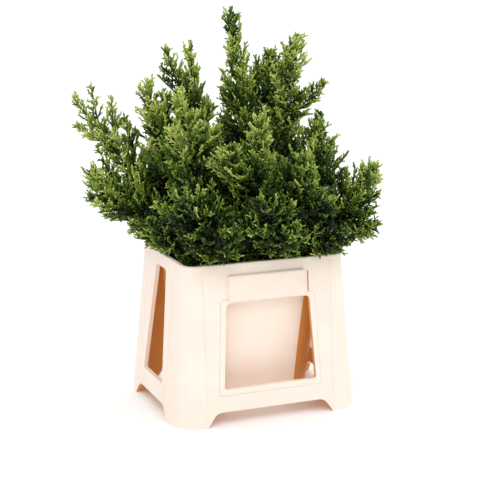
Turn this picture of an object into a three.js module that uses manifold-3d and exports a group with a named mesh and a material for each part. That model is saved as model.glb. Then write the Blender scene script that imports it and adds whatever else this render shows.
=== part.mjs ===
// A flower-trade bucket holding a clump of cut hinoki cypress branches, drawn in millimetres with Z up.
// X runs along the wide front of the bucket, Y to its back, and the origin is the middle of its underside.
import * as THREE from "three";
import { mergeVertices } from "three/addons/utils/BufferGeometryUtils.js";
import Module from "manifold-3d";

const wasm = await Module();
wasm.setup();
const { Manifold, Mesh: SolidMesh } = wasm;

// Sizes of the bucket and of the skirt that it hangs in.
const HEIGHT = 310;
const RIM_HALF_X = 165;
const RIM_HALF_Y = 131;
const RIM_CORNER = 24;
const RIM_THICK = 6;
const RIM_LIP = 7;
const WALL = 2.5;
const SKIRT_FLARE = 30;
const FOOT_CORNER = 60;
const CORNER_STEPS = 4;
const BUCKET_FLOOR = 4;
// Outside of the inner bucket at a few heights: height, half width, half depth, corner radius.
const BUCKET_LEVELS = [
  [0, 118, 82, 50],
  [155, 138, 99, 58],
  [232, 148, 108, 60],
  [282, 154, 119, 40],
  [HEIGHT, 160, 126, 22],
];
const FRONT_WINDOW = { top: 235, bottom: 70, halfTop: 86, halfBottom: 96, corner: 7 };
const SIDE_WINDOW = { top: 284, bottom: 64, halfTop: 29, halfBottom: 57, corner: 5 };
const FRONT_NOTCH = { top: 27, bottom: -12, halfTop: 112, halfBottom: 140, corner: 9 };
const SIDE_NOTCH = { top: 27, bottom: -12, halfTop: 73, halfBottom: 101, corner: 9 };
const FLANGE_DEPTH = 5.5;
const FLANGE_THICK = 2.5;
const GRIP = { top: 289, bottom: 237.5, halfTop: 80.5, halfBottom: 80.5, corner: 5 };
const GRIP_RAISE = 7;
const GRIP_SLOT = { half: 83.5, wide: 1.6, top: 284, bottom: 244, deep: 2 };
const CUTTER_REACH = 230;

// Air between pieces that touch in the real thing.
const SEAT_GAP = 0.3;

// Sizes of the plant.
// Height of a stem's top: inside the mouth, or above the rim where its plume lies over it.
const IN_MOUTH = HEIGHT - 34;
const OVER_RIM = HEIGHT + 5;
const STEM_BASE_SHARE = 0.42;
const STEM_BASE_RADIUS = 6.4;
const STEM_TOP_RADIUS = 4.8;
const STEM_SIDES = 7;
const STEM_STEPS = 2;
const CORE_SIDES = 6;
const CORE_BALL = 5;
// Share of the plume's girth that its core fills, from its root to its tip.
const CORE_ROOT = 0.8;
const CORE_TIP = 0.2;
// Stations along an axis: share of its length, and share of the plume's girth reached there.
const GIRTH_PROFILE = [
  [0, 0.8],
  [0.15, 1],
  [0.45, 1],
  [0.65, 0.74],
  [0.82, 0.42],
  [1, 0.2],
];
const CORE_STATIONS = [0.06, 0.22, 0.45, 0.74];
const NECK_MM = 5;
const TIP_RADIUS = 2.2;
const TIP_SPRAY_SHARE = 0.9;
const GOLDEN_ANGLE = THREE.MathUtils.degToRad(137.50776);
const LEAN_ROOT = 74;
const LEAN_TIP = 34;
const LEAN_JITTER = 7;
const STRETCH_LEAST = 0.86;
const STRETCH_SPREAD = 0.28;
const SPRAY_ROOT = 2;
const SPRAY_WIDTH_SHARE = 0.2;
const SPRAY_WIDTH_MIN = 9;
const SPRAY_WIDTH_MAX = 16;
// Outline of one spray: share of its length, share of its width.
const SPRAY_PROFILE = [
  [0.5, 1],
  [0.94, 0.5],
];
// How far a spray's tip stands out of the core, at least.
const SPRAY_STANDS_OUT = 16;
// Half width kept clear around a spray: share of its length, share of its width.
const SPRAY_BALLS = [
  [0, 0.5],
  [0.5, 0.95],
  [0.94, 0.5],
  [1, 0.1],
];
const SPRAY_SHRINK = 0.9;
const SPRAY_LEAST = 0.42;
const SAMPLE_MM = 6;
const CELL_SLACK = 1.2;
const LIMB_SLACK = 0.8;
const POT_SLACK = 2.5;
// Share of a limb's length over which its curve keeps its first and its last direction.
const PULL_START = 0.33;
const PULL_END = 0.3;
// A direction is taken as upright past this share of its length along Z.
const UPRIGHT = 0.9;
const TRIM_AIR = 0.8;
// Clear half sizes of the mouth down to where the stems end.
const MOUTH_HALF_X = RIM_HALF_X - 12;
const MOUTH_HALF_Y = RIM_HALF_Y - 12;
const AXIS_SAMPLES = 12;
const FIRST_SPRAY = 0.05;
const SPRAY_CROWDING = 1.15;
const LAST_SPRAY = 0.93;

// Each plume of foliage: where its stem passes the mouth, then its forks. A fork leaves the first
// one at a share of its length and has the point it reaches, its girth, its number of sprays and
// how strongly its end turns upward.
const PLUMES = [
  { name: "top", mouth: [46, 16, IN_MOUTH], seed: 11, forks: [
    { reach: [4, 41, 770], girth: 80, sprays: 26, lift: 0.25 },
    { from: 0.3, reach: [66, 38, 652], girth: 78, sprays: 16, lift: 0.3 },
  ] },
  { name: "right_spike", mouth: [92, -10, IN_MOUTH], seed: 12, forks: [
    { reach: [106, -13, 728], girth: 84, sprays: 24, lift: 0.2 },
  ] },
  { name: "right_shoulder", mouth: [124, -42, OVER_RIM], seed: 13, forks: [
    { reach: [138, -71, 556], girth: 80, sprays: 16, lift: 0.3 },
    { from: 0.4, reach: [154, -6, 614], girth: 50, sprays: 9, lift: 0.2 },
  ] },
  { name: "far_right", mouth: [136, -76, OVER_RIM], seed: 14, forks: [
    { reach: [226, -114, 470], girth: 78, sprays: 15, lift: 0.3 },
    { from: 0.25, reach: [202, -154, 394], girth: 58, sprays: 12, lift: 0.2 },
  ] },
  { name: "left_spike", mouth: [-48, 42, IN_MOUTH], seed: 15, forks: [
    { reach: [-85, 56, 710], girth: 82, sprays: 20, lift: 0.2 },
    { from: 0.5, reach: [-116, 98, 698], girth: 54, sprays: 9, lift: 0.2 },
  ] },
  { name: "left_branch", mouth: [-92, 44, IN_MOUTH], seed: 16, forks: [
    { reach: [-168, 71, 638], girth: 84, sprays: 18, lift: 0.3 },
    { from: 0.4, reach: [-78, -10, 594], girth: 56, sprays: 9, lift: 0.2 },
  ] },
  { name: "far_left", mouth: [-124, 58, OVER_RIM], seed: 17, forks: [
    { reach: [-292, 140, 605], girth: 58, sprays: 15, lift: 0.15 },
    { from: 0.55, reach: [-228, 114, 600], girth: 30, sprays: 6, lift: 0.2 },
    { from: 0.6, reach: [-294, 130, 549], girth: 28, sprays: 6, lift: 0 },
  ] },
  { name: "left", mouth: [-134, 20, OVER_RIM], seed: 18, forks: [
    { reach: [-262, 110, 442], girth: 82, sprays: 18, lift: 0.25 },
    { from: 0.35, reach: [-262, 72, 398], girth: 62, sprays: 9, lift: 0.1 },
  ] },
  { name: "left_low", mouth: [-138, -22, OVER_RIM], seed: 19, forks: [
    { reach: [-214, 52, 368], girth: 56, sprays: 14, lift: 0.15 },
    { from: 0.2, reach: [-184, -26, 358], girth: 48, sprays: 9, lift: 0.1 },
  ] },
  { name: "front_left", mouth: [-84, -36, IN_MOUTH], seed: 20, forks: [
    { reach: [-140, -39, 622], girth: 84, sprays: 18, lift: 0.35 },
    { from: 0.4, reach: [-130, -98, 550], girth: 66, sprays: 10, lift: 0.3 },
  ] },
  { name: "front", mouth: [-8, -42, IN_MOUTH], seed: 21, forks: [
    { reach: [-23, -148, 578], girth: 88, sprays: 20, lift: 0.35 },
    { from: 0.35, reach: [-88, -142, 526], girth: 68, sprays: 12, lift: 0.3 },
  ] },
  { name: "front_right", mouth: [70, -62, IN_MOUTH], seed: 22, forks: [
    { reach: [34, -188, 512], girth: 84, sprays: 18, lift: 0.35 },
    { from: 0.3, reach: [84, -196, 436], girth: 66, sprays: 12, lift: 0.3 },
  ] },
  { name: "front_low", mouth: [18, -98, OVER_RIM], seed: 23, forks: [
    { reach: [-52, -222, 432], girth: 78, sprays: 14, lift: 0.3 },
    { from: 0.2, reach: [6, -232, 376], girth: 62, sprays: 10, lift: 0.15 },
  ] },
  { name: "front_left_low", mouth: [-88, -90, OVER_RIM], seed: 24, forks: [
    { reach: [-162, -134, 432], girth: 78, sprays: 15, lift: 0.3 },
    { from: 0.2, reach: [-122, -182, 372], girth: 62, sprays: 10, lift: 0.15 },
  ] },
  { name: "right_low", mouth: [112, -102, OVER_RIM], seed: 25, forks: [
    { reach: [106, -182, 366], girth: 66, sprays: 13, lift: 0.15 },
  ] },
  { name: "back", mouth: [12, 88, IN_MOUTH], seed: 26, forks: [
    { reach: [40, 180, 545], girth: 88, sprays: 18, lift: 0.35 },
    { from: 0.25, reach: [30, 248, 400], girth: 70, sprays: 12, lift: 0.2 },
  ] },
  { name: "back_left", mouth: [-84, 92, IN_MOUTH], seed: 27, forks: [
    { reach: [-96, 172, 530], girth: 84, sprays: 16, lift: 0.35 },
    { from: 0.25, reach: [-166, 190, 392], girth: 68, sprays: 11, lift: 0.2 },
  ] },
  { name: "back_right", mouth: [92, 86, IN_MOUTH], seed: 28, forks: [
    { reach: [142, 152, 572], girth: 86, sprays: 18, lift: 0.3 },
    { from: 0.25, reach: [150, 218, 402], girth: 68, sprays: 11, lift: 0.2 },
  ] },
  { name: "right_back", mouth: [136, 30, OVER_RIM], seed: 29, forks: [
    { reach: [208, 62, 448], girth: 72, sprays: 16, lift: 0.3 },
  ] },
];

// Colours and surfaces.
const PLASTIC = { color: 0xfbf0df, roughness: 0.42, metalness: 0 };
const BARK = { color: 0x6b4a32, roughness: 0.86, metalness: 0 };
const FOLIAGE = { color: 0x4c6b2a, roughness: 0.74, metalness: 0 };

const UP = new THREE.Vector3(0, 0, 1);
const ALONG_Y = new THREE.Vector3(0, 1, 0);

/** Repeatable random numbers from 0 to 1. */
function seeded(seed) {
  let state = seed >>> 0;
  return () => {
    state = (state + 0x6d2b79f5) >>> 0;
    let mixed = Math.imul(state ^ (state >>> 15), state | 1);
    mixed = (mixed + Math.imul(mixed ^ (mixed >>> 7), mixed | 61)) ^ mixed;
    return ((mixed ^ (mixed >>> 14)) >>> 0) / 4294967296;
  };
}

/** A closed three.js geometry as a solid, without the slivers at a lathe's poles. */
function solidOf(geometry) {
  const bare = geometry.index ? geometry.toNonIndexed() : geometry.clone();
  bare.deleteAttribute("normal");
  bare.deleteAttribute("uv");
  const merged = mergeVertices(bare, 1e-4);
  const corners = merged.index.array;
  const kept = [];
  for (let i = 0; i < corners.length; i += 3) {
    const [a, b, c] = [corners[i], corners[i + 1], corners[i + 2]];
    if (a !== b && b !== c && a !== c) kept.push(a, b, c);
  }
  return new Manifold(
    new SolidMesh({
      numProp: 3,
      vertProperties: new Float32Array(merged.attributes.position.array),
      triVerts: new Uint32Array(kept),
    }),
  );
}

/** A solid as a flat-shaded three.js geometry. */
function geometryOf(solid) {
  const mesh = solid.getMesh();
  const geometry = new THREE.BufferGeometry();
  geometry.setAttribute("position", new THREE.BufferAttribute(mesh.vertProperties, 3));
  geometry.setIndex(new THREE.BufferAttribute(mesh.triVerts, 1));
  const flat = geometry.toNonIndexed();
  flat.computeVertexNormals();
  return flat;
}

/** The largest body of a solid: loose scraps and sealed hollows are left out. */
function largestBody(solid) {
  return solid.decompose().reduce((best, body) => (body.volume() > best.volume() ? body : best));
}

/** Straight-line value between two numbers. */
const mix = (a, b, share) => a + (b - a) * share;

/** Value at a share of the way along a table of [share, value] rows. */
function tableValue(rows, share) {
  const next = rows.findIndex(([at]) => at >= share);
  if (next <= 0) return rows[next < 0 ? rows.length - 1 : 0][1];
  const [a, b] = [rows[next - 1], rows[next]];
  return mix(a[1], b[1], (share - a[0]) / (b[0] - a[0]));
}

/** Closed block whose level cross-sections are rounded rectangles [z, halfX, halfY, corner]. */
function roundedBlock(levels) {
  const perCorner = CORNER_STEPS + 1;
  const around = 4 * perCorner;
  const geometry = new THREE.CylinderGeometry(1, 1, 1, around, levels.length - 1);
  const position = geometry.getAttribute("position");
  for (let i = 0; i < position.count; i += 1) {
    const row = Math.round((position.getY(i) + 0.5) * (levels.length - 1));
    const [z, halfX, halfY, corner] = levels[row];
    const onAxis = Math.hypot(position.getX(i), position.getZ(i)) < 0.5;
    const turn = Math.atan2(position.getX(i), position.getZ(i)) / (2 * Math.PI);
    const step = (Math.round(turn * around) + around) % around;
    const quarter = Math.floor(step / perCorner);
    const angle = ((quarter + (step % perCorner) / CORNER_STEPS) * Math.PI) / 2;
    const signX = quarter === 0 || quarter === 3 ? 1 : -1;
    const signY = quarter < 2 ? 1 : -1;
    const x = onAxis ? 0 : signX * (halfX - corner) + corner * Math.cos(angle);
    const y = onAxis ? 0 : signY * (halfY - corner) + corner * Math.sin(angle);
    position.setXYZ(i, x, y, z);
  }
  return solidOf(geometry);
}

/** Levels of the flared skirt's outside, moved outward by grow, between two heights. */
function skirtLevels(grow, bottom, top) {
  return [bottom, top].map((z) => {
    const share = (HEIGHT - z) / HEIGHT;
    const out = SKIRT_FLARE * share + grow;
    const corner = mix(RIM_CORNER, FOOT_CORNER, share) + grow;
    return [z, RIM_HALF_X + out, RIM_HALF_Y + out, corner];
  });
}

/** Outline of a window or plate with straight sloping ends and rounded corners, grown by grow. */
function openingShape({ top, bottom, halfTop, halfBottom, corner }, grow = 0) {
  const points = [
    [-halfBottom - grow, bottom - grow],
    [halfBottom + grow, bottom - grow],
    [halfTop + grow, top + grow],
    [-halfTop - grow, top + grow],
  ].map(([x, y]) => new THREE.Vector2(x, y));
  const shape = new THREE.Shape();
  const radius = corner + grow;
  points.forEach((point, i) => {
    const before = points[(i + 3) % 4].clone().sub(point).setLength(radius).add(point);
    const after = points[(i + 1) % 4].clone().sub(point).setLength(radius).add(point);
    if (i) shape.lineTo(before.x, before.y);
    else shape.moveTo(before.x, before.y);
    shape.quadraticCurveTo(point.x, point.y, after.x, after.y);
  });
  shape.closePath();
  return shape;
}

/** A bar of the given outline that runs right through the bucket, front to back or side to side. */
function throughBar(shape, sideways) {
  const depth = 2 * CUTTER_REACH;
  const geometry = new THREE.ExtrudeGeometry(shape, { depth, bevelEnabled: false, curveSegments: 2 });
  geometry.translate(0, 0, -CUTTER_REACH);
  geometry.rotateX(Math.PI / 2);
  if (sideways) geometry.rotateZ(Math.PI / 2);
  return solidOf(geometry);
}

/** Upright box by its centre and sizes. */
function box(x, y, z, wide, deep, high) {
  return solidOf(new THREE.BoxGeometry(wide, deep, high).translate(x, y, z));
}

/** The flared skirt round the bucket, with its rim, windows, feet and grip plates. */
function makeSkirt() {
  const outer = roundedBlock(skirtLevels(0, 0, HEIGHT));
  const inner = roundedBlock(skirtLevels(-WALL, -1, HEIGHT - RIM_THICK));
  const flangeInner = roundedBlock(skirtLevels(-FLANGE_DEPTH, -1, HEIGHT + 1));
  const flangeBand = outer.subtract(flangeInner);
  let skirt = outer.subtract(inner);
  const openings = [
    [FRONT_WINDOW, false],
    [SIDE_WINDOW, true],
    [FRONT_NOTCH, false],
    [SIDE_NOTCH, true],
  ];
  for (const [opening, sideways] of openings) {
    const frame = throughBar(openingShape(opening, FLANGE_THICK), sideways);
    skirt = skirt.add(flangeBand.intersect(frame));
  }
  const plateBlock = roundedBlock(skirtLevels(GRIP_RAISE, 0, HEIGHT));
  const plates = plateBlock.subtract(inner).intersect(throughBar(openingShape(GRIP), false));
  skirt = skirt.add(plates);
  for (const [opening, sideways] of openings) {
    skirt = skirt.subtract(throughBar(openingShape(opening), sideways));
  }
  const grooveBlock = outer.subtract(roundedBlock(skirtLevels(-GRIP_SLOT.deep, -1, HEIGHT + 1)));
  const slotHigh = GRIP_SLOT.top - GRIP_SLOT.bottom;
  const slotMiddle = (GRIP_SLOT.top + GRIP_SLOT.bottom) / 2;
  for (const side of [-1, 1]) {
    const slot = box(side * GRIP_SLOT.half, 0, slotMiddle, GRIP_SLOT.wide, 2 * CUTTER_REACH, slotHigh);
    skirt = skirt.subtract(grooveBlock.intersect(slot));
  }
  const room = bucketLevels(SEAT_GAP, 0, HEIGHT);
  const [, ...mouth] = room[room.length - 1];
  return largestBody(skirt.subtract(roundedBlock([...room, [HEIGHT + 1, ...mouth]])));
}

/** Levels of the inner bucket's outside, moved outward by grow, with its lowest and highest moved. */
function bucketLevels(grow, bottom, top) {
  return BUCKET_LEVELS.map(([z, x, y, corner], i) => {
    const height = i === 0 ? bottom : i === BUCKET_LEVELS.length - 1 ? top : z;
    return [height, x + grow, y + grow, corner + grow];
  });
}

/** The tapered inner bucket, open at the top. */
function makeBucket() {
  const shell = roundedBlock(bucketLevels(0, 0, HEIGHT));
  return largestBody(shell.subtract(roundedBlock(bucketLevels(-WALL, BUCKET_FLOOR, HEIGHT + 1))));
}

/** Half sizes of the bucket's outside at a height, for keeping foliage off it. */
function bucketHalf(z) {
  const out = SKIRT_FLARE * Math.max(0, (HEIGHT - z) / HEIGHT) + GRIP_RAISE;
  return [RIM_HALF_X + out, RIM_HALF_Y + out];
}

/** The space foliage is trimmed back from: the bucket with a little air round it, less its mouth. */
function makeKeepOut() {
  const round = roundedBlock(skirtLevels(GRIP_RAISE + TRIM_AIR, -1, HEIGHT + TRIM_AIR));
  const [z, halfX, halfY, corner] = BUCKET_LEVELS[BUCKET_LEVELS.length - 2];
  const inset = WALL + TRIM_AIR;
  const lip = RIM_LIP + TRIM_AIR;
  const mouth = roundedBlock([
    [BUCKET_FLOOR, halfX / 2, halfY / 2, corner],
    [z, halfX - inset, halfY - inset, corner - inset],
    [HEIGHT + 2 * TRIM_AIR, RIM_HALF_X - lip, RIM_HALF_Y - lip, RIM_CORNER - lip],
  ]);
  return round.subtract(mouth);
}

const keepOut = makeKeepOut();

/** Whether a ball is clear of the bucket: above its rim, outside its skirt or inside its mouth. */
function clearOfBucket(point, radius) {
  const [halfX, halfY] = bucketHalf(point.z);
  const away = radius + POT_SLACK;
  const [x, y] = [Math.abs(point.x), Math.abs(point.y)];
  if (point.z - away > HEIGHT || x - away > halfX || y - away > halfY) return true;
  return point.z > IN_MOUTH && x + away < MOUTH_HALF_X && y + away < MOUTH_HALF_Y;
}

/** Two directions square to a curve's tangent at a share of its length. */
function frameAt(curve, share) {
  const tangent = curve.getTangent(share);
  const reference = Math.abs(tangent.z) > UPRIGHT ? ALONG_Y : UP;
  const across = new THREE.Vector3().crossVectors(reference, tangent).normalize();
  return { tangent, across, over: new THREE.Vector3().crossVectors(tangent, across) };
}

/** Closed limb along a curve: stations are shares of it, radiusAt gives its size by station and angle. */
function limb(curve, sides, stations, radiusAt) {
  const rows = stations.length - 1;
  const geometry = new THREE.CylinderGeometry(1, 1, 1, sides, rows);
  const position = geometry.getAttribute("position");
  for (let i = 0; i < position.count; i += 1) {
    const row = Math.round((position.getY(i) + 0.5) * rows);
    const onAxis = Math.hypot(position.getX(i), position.getZ(i)) < 0.5;
    const turn = Math.atan2(position.getX(i), position.getZ(i)) / (2 * Math.PI);
    const angle = (Math.round(turn * sides) * 2 * Math.PI) / sides;
    const share = stations[row];
    const { across, over } = frameAt(curve, share);
    const outward = across.multiplyScalar(Math.cos(angle)).add(over.multiplyScalar(Math.sin(angle)));
    const point = curve.getPoint(share);
    if (!onAxis) point.addScaledVector(outward, radiusAt(row, outward));
    position.setXYZ(i, point.x, point.y, point.z);
  }
  return solidOf(geometry);
}

/** Points along a curve. */
const samplesOf = (curve, count) => Array.from({ length: count + 1 }, (_, i) => curve.getPoint(i / count));

/** Distance from a point to a line of points. */
function distanceTo(line, point) {
  let least = Infinity;
  const segment = new THREE.Line3();
  const nearest = new THREE.Vector3();
  for (let i = 1; i < line.length; i += 1) {
    segment.set(line[i - 1], line[i]).closestPointToPoint(point, true, nearest);
    least = Math.min(least, nearest.distanceTo(point));
  }
  return least;
}

/** Curves of one plume: its stem inside the bucket and its forks above the mouth. */
function layOut(plume) {
  const [x, y, z] = plume.mouth;
  const slant = (Math.hypot(x, y) * (1 - STEM_BASE_SHARE)) / z;
  const baseZ = BUCKET_FLOOR + SEAT_GAP + STEM_BASE_RADIUS * slant;
  const base = new THREE.Vector3(x * STEM_BASE_SHARE, y * STEM_BASE_SHARE, baseZ);
  const mouth = new THREE.Vector3(x, y, z);
  const stem = new THREE.LineCurve3(base, mouth);
  const heading = mouth.clone().sub(base).normalize();
  const root = mouth.clone().addScaledVector(heading, SEAT_GAP);
  const curves = [];
  for (const fork of plume.forks) {
    const tip = new THREE.Vector3(...fork.reach);
    const start = fork.from ? curves[0].getPoint(fork.from) : root;
    const away = fork.from ? curves[0].getTangent(fork.from) : heading;
    const length = start.distanceTo(tip);
    const ending = tip.clone().sub(start).normalize().addScaledVector(UP, fork.lift).normalize();
    const first = start.clone().addScaledVector(away, length * PULL_START);
    const second = tip.clone().addScaledVector(ending, -length * PULL_END);
    curves.push(new THREE.CubicBezierCurve3(start, first, second, tip));
  }
  return { plume, stem, curves, lines: curves.map((curve) => samplesOf(curve, AXIS_SAMPLES)) };
}

const layouts = PLUMES.map(layOut);

/** How much nearer a point is to its own plume than to any other, or -Infinity where a limb is hit. */
function roomAt(point, own, radius) {
  const reachOf = (layout) =>
    Math.min(...layout.lines.map((line, i) => distanceTo(line, point) - layout.plume.forks[i].girth / 2));
  const mine = reachOf(own);
  let least = Infinity;
  for (const other of layouts) {
    if (other === own) continue;
    const stemAway = distanceTo([other.stem.v1, other.stem.v2], point);
    const axisAway = Math.min(...other.lines.map((line) => distanceTo(line, point)));
    const limbRadius = STEM_BASE_RADIUS + LIMB_SLACK + radius;
    if (stemAway < limbRadius || axisAway < limbRadius) return -Infinity;
    least = Math.min(least, reachOf(other) - mine);
  }
  return least;
}

/** Whether a ball lies in its plume's own space, clear of the limbs and the bucket. */
function hasRoom(point, own, radius) {
  return clearOfBucket(point, radius) && roomAt(point, own, radius) > 2 * radius + CELL_SLACK;
}

/** Largest radius up to wanted, from a point on an axis outward, that stays in the plume's space. */
function coreReach(point, outward, wanted, own) {
  let radius = wanted;
  while (radius > TIP_RADIUS && !hasRoom(point.clone().addScaledVector(outward, radius), own, CORE_BALL)) {
    radius *= SPRAY_SHRINK;
  }
  return Math.max(radius, TIP_RADIUS);
}

/** A blunt three-sided spray from a point along a direction. */
function spray(from, direction, length, width) {
  const rows = [[0, 0], [0, SPRAY_ROOT / width], ...SPRAY_PROFILE, [1, 0]];
  const profile = rows.map(([along, out]) => new THREE.Vector2(out * width, along * length));
  const geometry = new THREE.LatheGeometry(profile, 3);
  geometry.applyQuaternion(new THREE.Quaternion().setFromUnitVectors(ALONG_Y, direction));
  geometry.translate(from.x, from.y, from.z);
  return solidOf(geometry);
}

/** Longest share of a spray that stays in the plume's space, or 0 where it would be too short. */
function sprayShare(from, direction, length, width, own) {
  for (let share = 1; share >= SPRAY_LEAST; share *= SPRAY_SHRINK) {
    const count = Math.ceil((length * share) / SAMPLE_MM);
    let fits = true;
    for (let i = 2; i <= count && fits; i += 1) {
      const along = i / count;
      const radius = width * tableValue(SPRAY_BALLS, along);
      fits = hasRoom(from.clone().addScaledVector(direction, along * length * share), own, radius);
    }
    if (fits) return share;
  }
  return 0;
}

/** One mass of foliage: a core along each fork with sprays that stand out of it. */
function makePlume(layout) {
  const random = seeded(layout.plume.seed);
  const pieces = [];
  layout.curves.forEach((curve, index) => {
    const fork = layout.plume.forks[index];
    const length = curve.getLength();
    const neck = index ? [0] : [0, NECK_MM / length];
    const stations = [...neck, ...CORE_STATIONS, 1];
    const radiusAt = (row, outward) => {
      const share = stations[row];
      if (row < neck.length) return index ? SPRAY_ROOT : STEM_TOP_RADIUS;
      if (share === 1) return TIP_RADIUS;
      const filled = fork.girth * mix(CORE_ROOT, CORE_TIP, share);
      const wanted = filled * tableValue(GIRTH_PROFILE, share);
      return coreReach(curve.getPoint(share), outward, wanted, layout);
    };
    pieces.push(limb(curve, CORE_SIDES, stations, radiusAt));
    let turn = random() * 2 * Math.PI;
    for (let i = 0; i < fork.sprays; i += 1) {
      const share = mix(FIRST_SPRAY, LAST_SPRAY, ((i + 0.5) / fork.sprays) ** SPRAY_CROWDING);
      turn += GOLDEN_ANGLE;
      const lean = mix(LEAN_ROOT, LEAN_TIP, share) + LEAN_JITTER * (2 * random() - 1);
      const stretch = STRETCH_LEAST + STRETCH_SPREAD * random();
      const { tangent, across, over } = frameAt(curve, share);
      const radial = across.multiplyScalar(Math.cos(turn)).add(over.multiplyScalar(Math.sin(turn)));
      const slope = THREE.MathUtils.degToRad(lean);
      const direction = tangent.multiplyScalar(Math.cos(slope)).addScaledVector(radial, Math.sin(slope));
      const full = (fork.girth * tableValue(GIRTH_PROFILE, share) * stretch) / Math.sin(slope);
      const width = THREE.MathUtils.clamp(full * SPRAY_WIDTH_SHARE, SPRAY_WIDTH_MIN, SPRAY_WIDTH_MAX);
      const from = curve.getPoint(share);
      const kept = sprayShare(from, direction, full, width, layout);
      const wantedCore = fork.girth * mix(CORE_ROOT, CORE_TIP, share) * tableValue(GIRTH_PROFILE, share);
      const core = coreReach(from, radial, wantedCore, layout);
      if (full * kept * Math.sin(slope) < core + SPRAY_STANDS_OUT) continue;
      pieces.push(spray(from, direction, full * kept, width));
    }
    const end = curve.getPoint(TIP_SPRAY_SHARE);
    const ending = curve.getPoint(1).sub(end);
    const reach = ending.length() + TIP_RADIUS;
    pieces.push(spray(end, ending.normalize(), reach, SPRAY_WIDTH_MIN));
  });
  return largestBody(Manifold.union(pieces).subtract(keepOut));
}

/** A named mesh with its own material, placed at the point where it stands or leaves its neighbour. */
function meshOf(name, solid, look, place) {
  const geometry = geometryOf(solid).translate(-place.x, -place.y, -place.z);
  const mesh = new THREE.Mesh(geometry, new THREE.MeshStandardMaterial(look));
  mesh.name = name;
  mesh.position.copy(place);
  return mesh;
}

/** The straight stem that stands on the bucket's floor. */
function makeStem(layout) {
  const stations = Array.from({ length: STEM_STEPS + 1 }, (_, i) => i / STEM_STEPS);
  const radiusAt = (row) => mix(STEM_BASE_RADIUS, STEM_TOP_RADIUS, row / STEM_STEPS);
  return limb(layout.stem, STEM_SIDES, stations, radiusAt);
}

/** A named group of nodes. */
function groupOf(name, meshes) {
  const group = new THREE.Group();
  group.name = name;
  group.add(...meshes);
  return group;
}

const middle = new THREE.Vector3();
const container = groupOf("container", [
  meshOf("bucket", makeBucket(), PLASTIC, middle),
  meshOf("skirt", makeSkirt(), PLASTIC, middle),
]);
const stems = groupOf("stems", layouts.map((layout) =>
  meshOf("stem_" + layout.plume.name, makeStem(layout), BARK, layout.stem.v1)));
const foliage = groupOf("foliage", layouts.map((layout) =>
  meshOf("foliage_" + layout.plume.name, makePlume(layout), FOLIAGE, layout.stem.v2)));

export default groupOf("potted_cypress", [container, stems, foliage]);
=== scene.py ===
"""A hinoki cypress of the thread-leaved kind: cut boughs standing in a cream florist's bucket."""

import logging
import math
from collections.abc import Callable, Sequence
from dataclasses import dataclass, field
from enum import Enum

import bmesh
import bpy
import numpy as np
from bmesh.types import BMEdge, BMesh, BMVert
from bpy.types import Material, Mesh, Node, NodeSocket, NodeTree, Object
from mathutils import Matrix, Vector


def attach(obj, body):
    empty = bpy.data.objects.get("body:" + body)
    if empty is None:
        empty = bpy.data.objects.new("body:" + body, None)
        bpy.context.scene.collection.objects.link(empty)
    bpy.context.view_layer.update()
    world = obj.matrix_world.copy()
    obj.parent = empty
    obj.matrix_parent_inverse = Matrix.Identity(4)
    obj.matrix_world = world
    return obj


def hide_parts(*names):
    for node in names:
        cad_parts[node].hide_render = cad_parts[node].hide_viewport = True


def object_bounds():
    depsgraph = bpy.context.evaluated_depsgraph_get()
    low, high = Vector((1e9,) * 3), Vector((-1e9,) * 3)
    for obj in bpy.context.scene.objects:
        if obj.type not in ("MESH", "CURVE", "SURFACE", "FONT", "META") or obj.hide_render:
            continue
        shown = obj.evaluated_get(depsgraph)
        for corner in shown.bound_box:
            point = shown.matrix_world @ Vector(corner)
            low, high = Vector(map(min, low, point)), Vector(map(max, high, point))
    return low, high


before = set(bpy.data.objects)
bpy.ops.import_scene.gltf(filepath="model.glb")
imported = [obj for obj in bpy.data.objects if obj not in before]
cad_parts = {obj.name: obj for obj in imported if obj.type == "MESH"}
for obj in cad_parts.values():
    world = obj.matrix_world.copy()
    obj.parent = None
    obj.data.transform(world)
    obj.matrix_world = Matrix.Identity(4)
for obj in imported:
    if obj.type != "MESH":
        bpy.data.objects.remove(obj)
CAD_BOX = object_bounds()

Pair = tuple[float, float]
Triple = tuple[float, float, float]
Table = tuple[Pair, ...]
NumberRule = Callable[[], float]

LOG = logging.getLogger("potted_cypress")
MM = 0.001
UP = np.array([0.0, 0.0, 1.0])
BACKWARD = np.array([0.0, 1.0, 0.0])
STEEP = 0.9
TINY = 1e-9
ALL = slice(None)
GOLDEN_ANGLE = math.radians(137.50776)
WORD = 0xFFFFFFFF
SEED_STEP = 0x6D2B79F5


# Shared maths, in millimetres unless a name says otherwise


def mix(low: float, high: float, share: np.ndarray | float) -> np.ndarray | float:
    """Value that lies a share of the way from low to high."""
    return low + (high - low) * share


def along(table: Table, place: float) -> float:
    """Value at a place, read off a table of places and values."""
    places, values = zip(*table, strict=True)
    return float(np.interp(place, places, values))


def unit(rows: np.ndarray) -> np.ndarray:
    """Rows scaled to length one."""
    return rows / np.maximum(np.linalg.norm(rows, axis=-1, keepdims=True), TINY)


def frames_across(direction: np.ndarray) -> tuple[np.ndarray, np.ndarray]:
    """Two directions square to a given one.

    Args:
        direction: one unit row, or several.

    Returns:
        The direction across each row, and the one square to both.
    """
    reference = np.where(np.abs(direction[..., 2:3]) > STEEP, BACKWARD, UP)
    across = unit(np.cross(reference, direction))
    return across, np.cross(direction, across)


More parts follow.
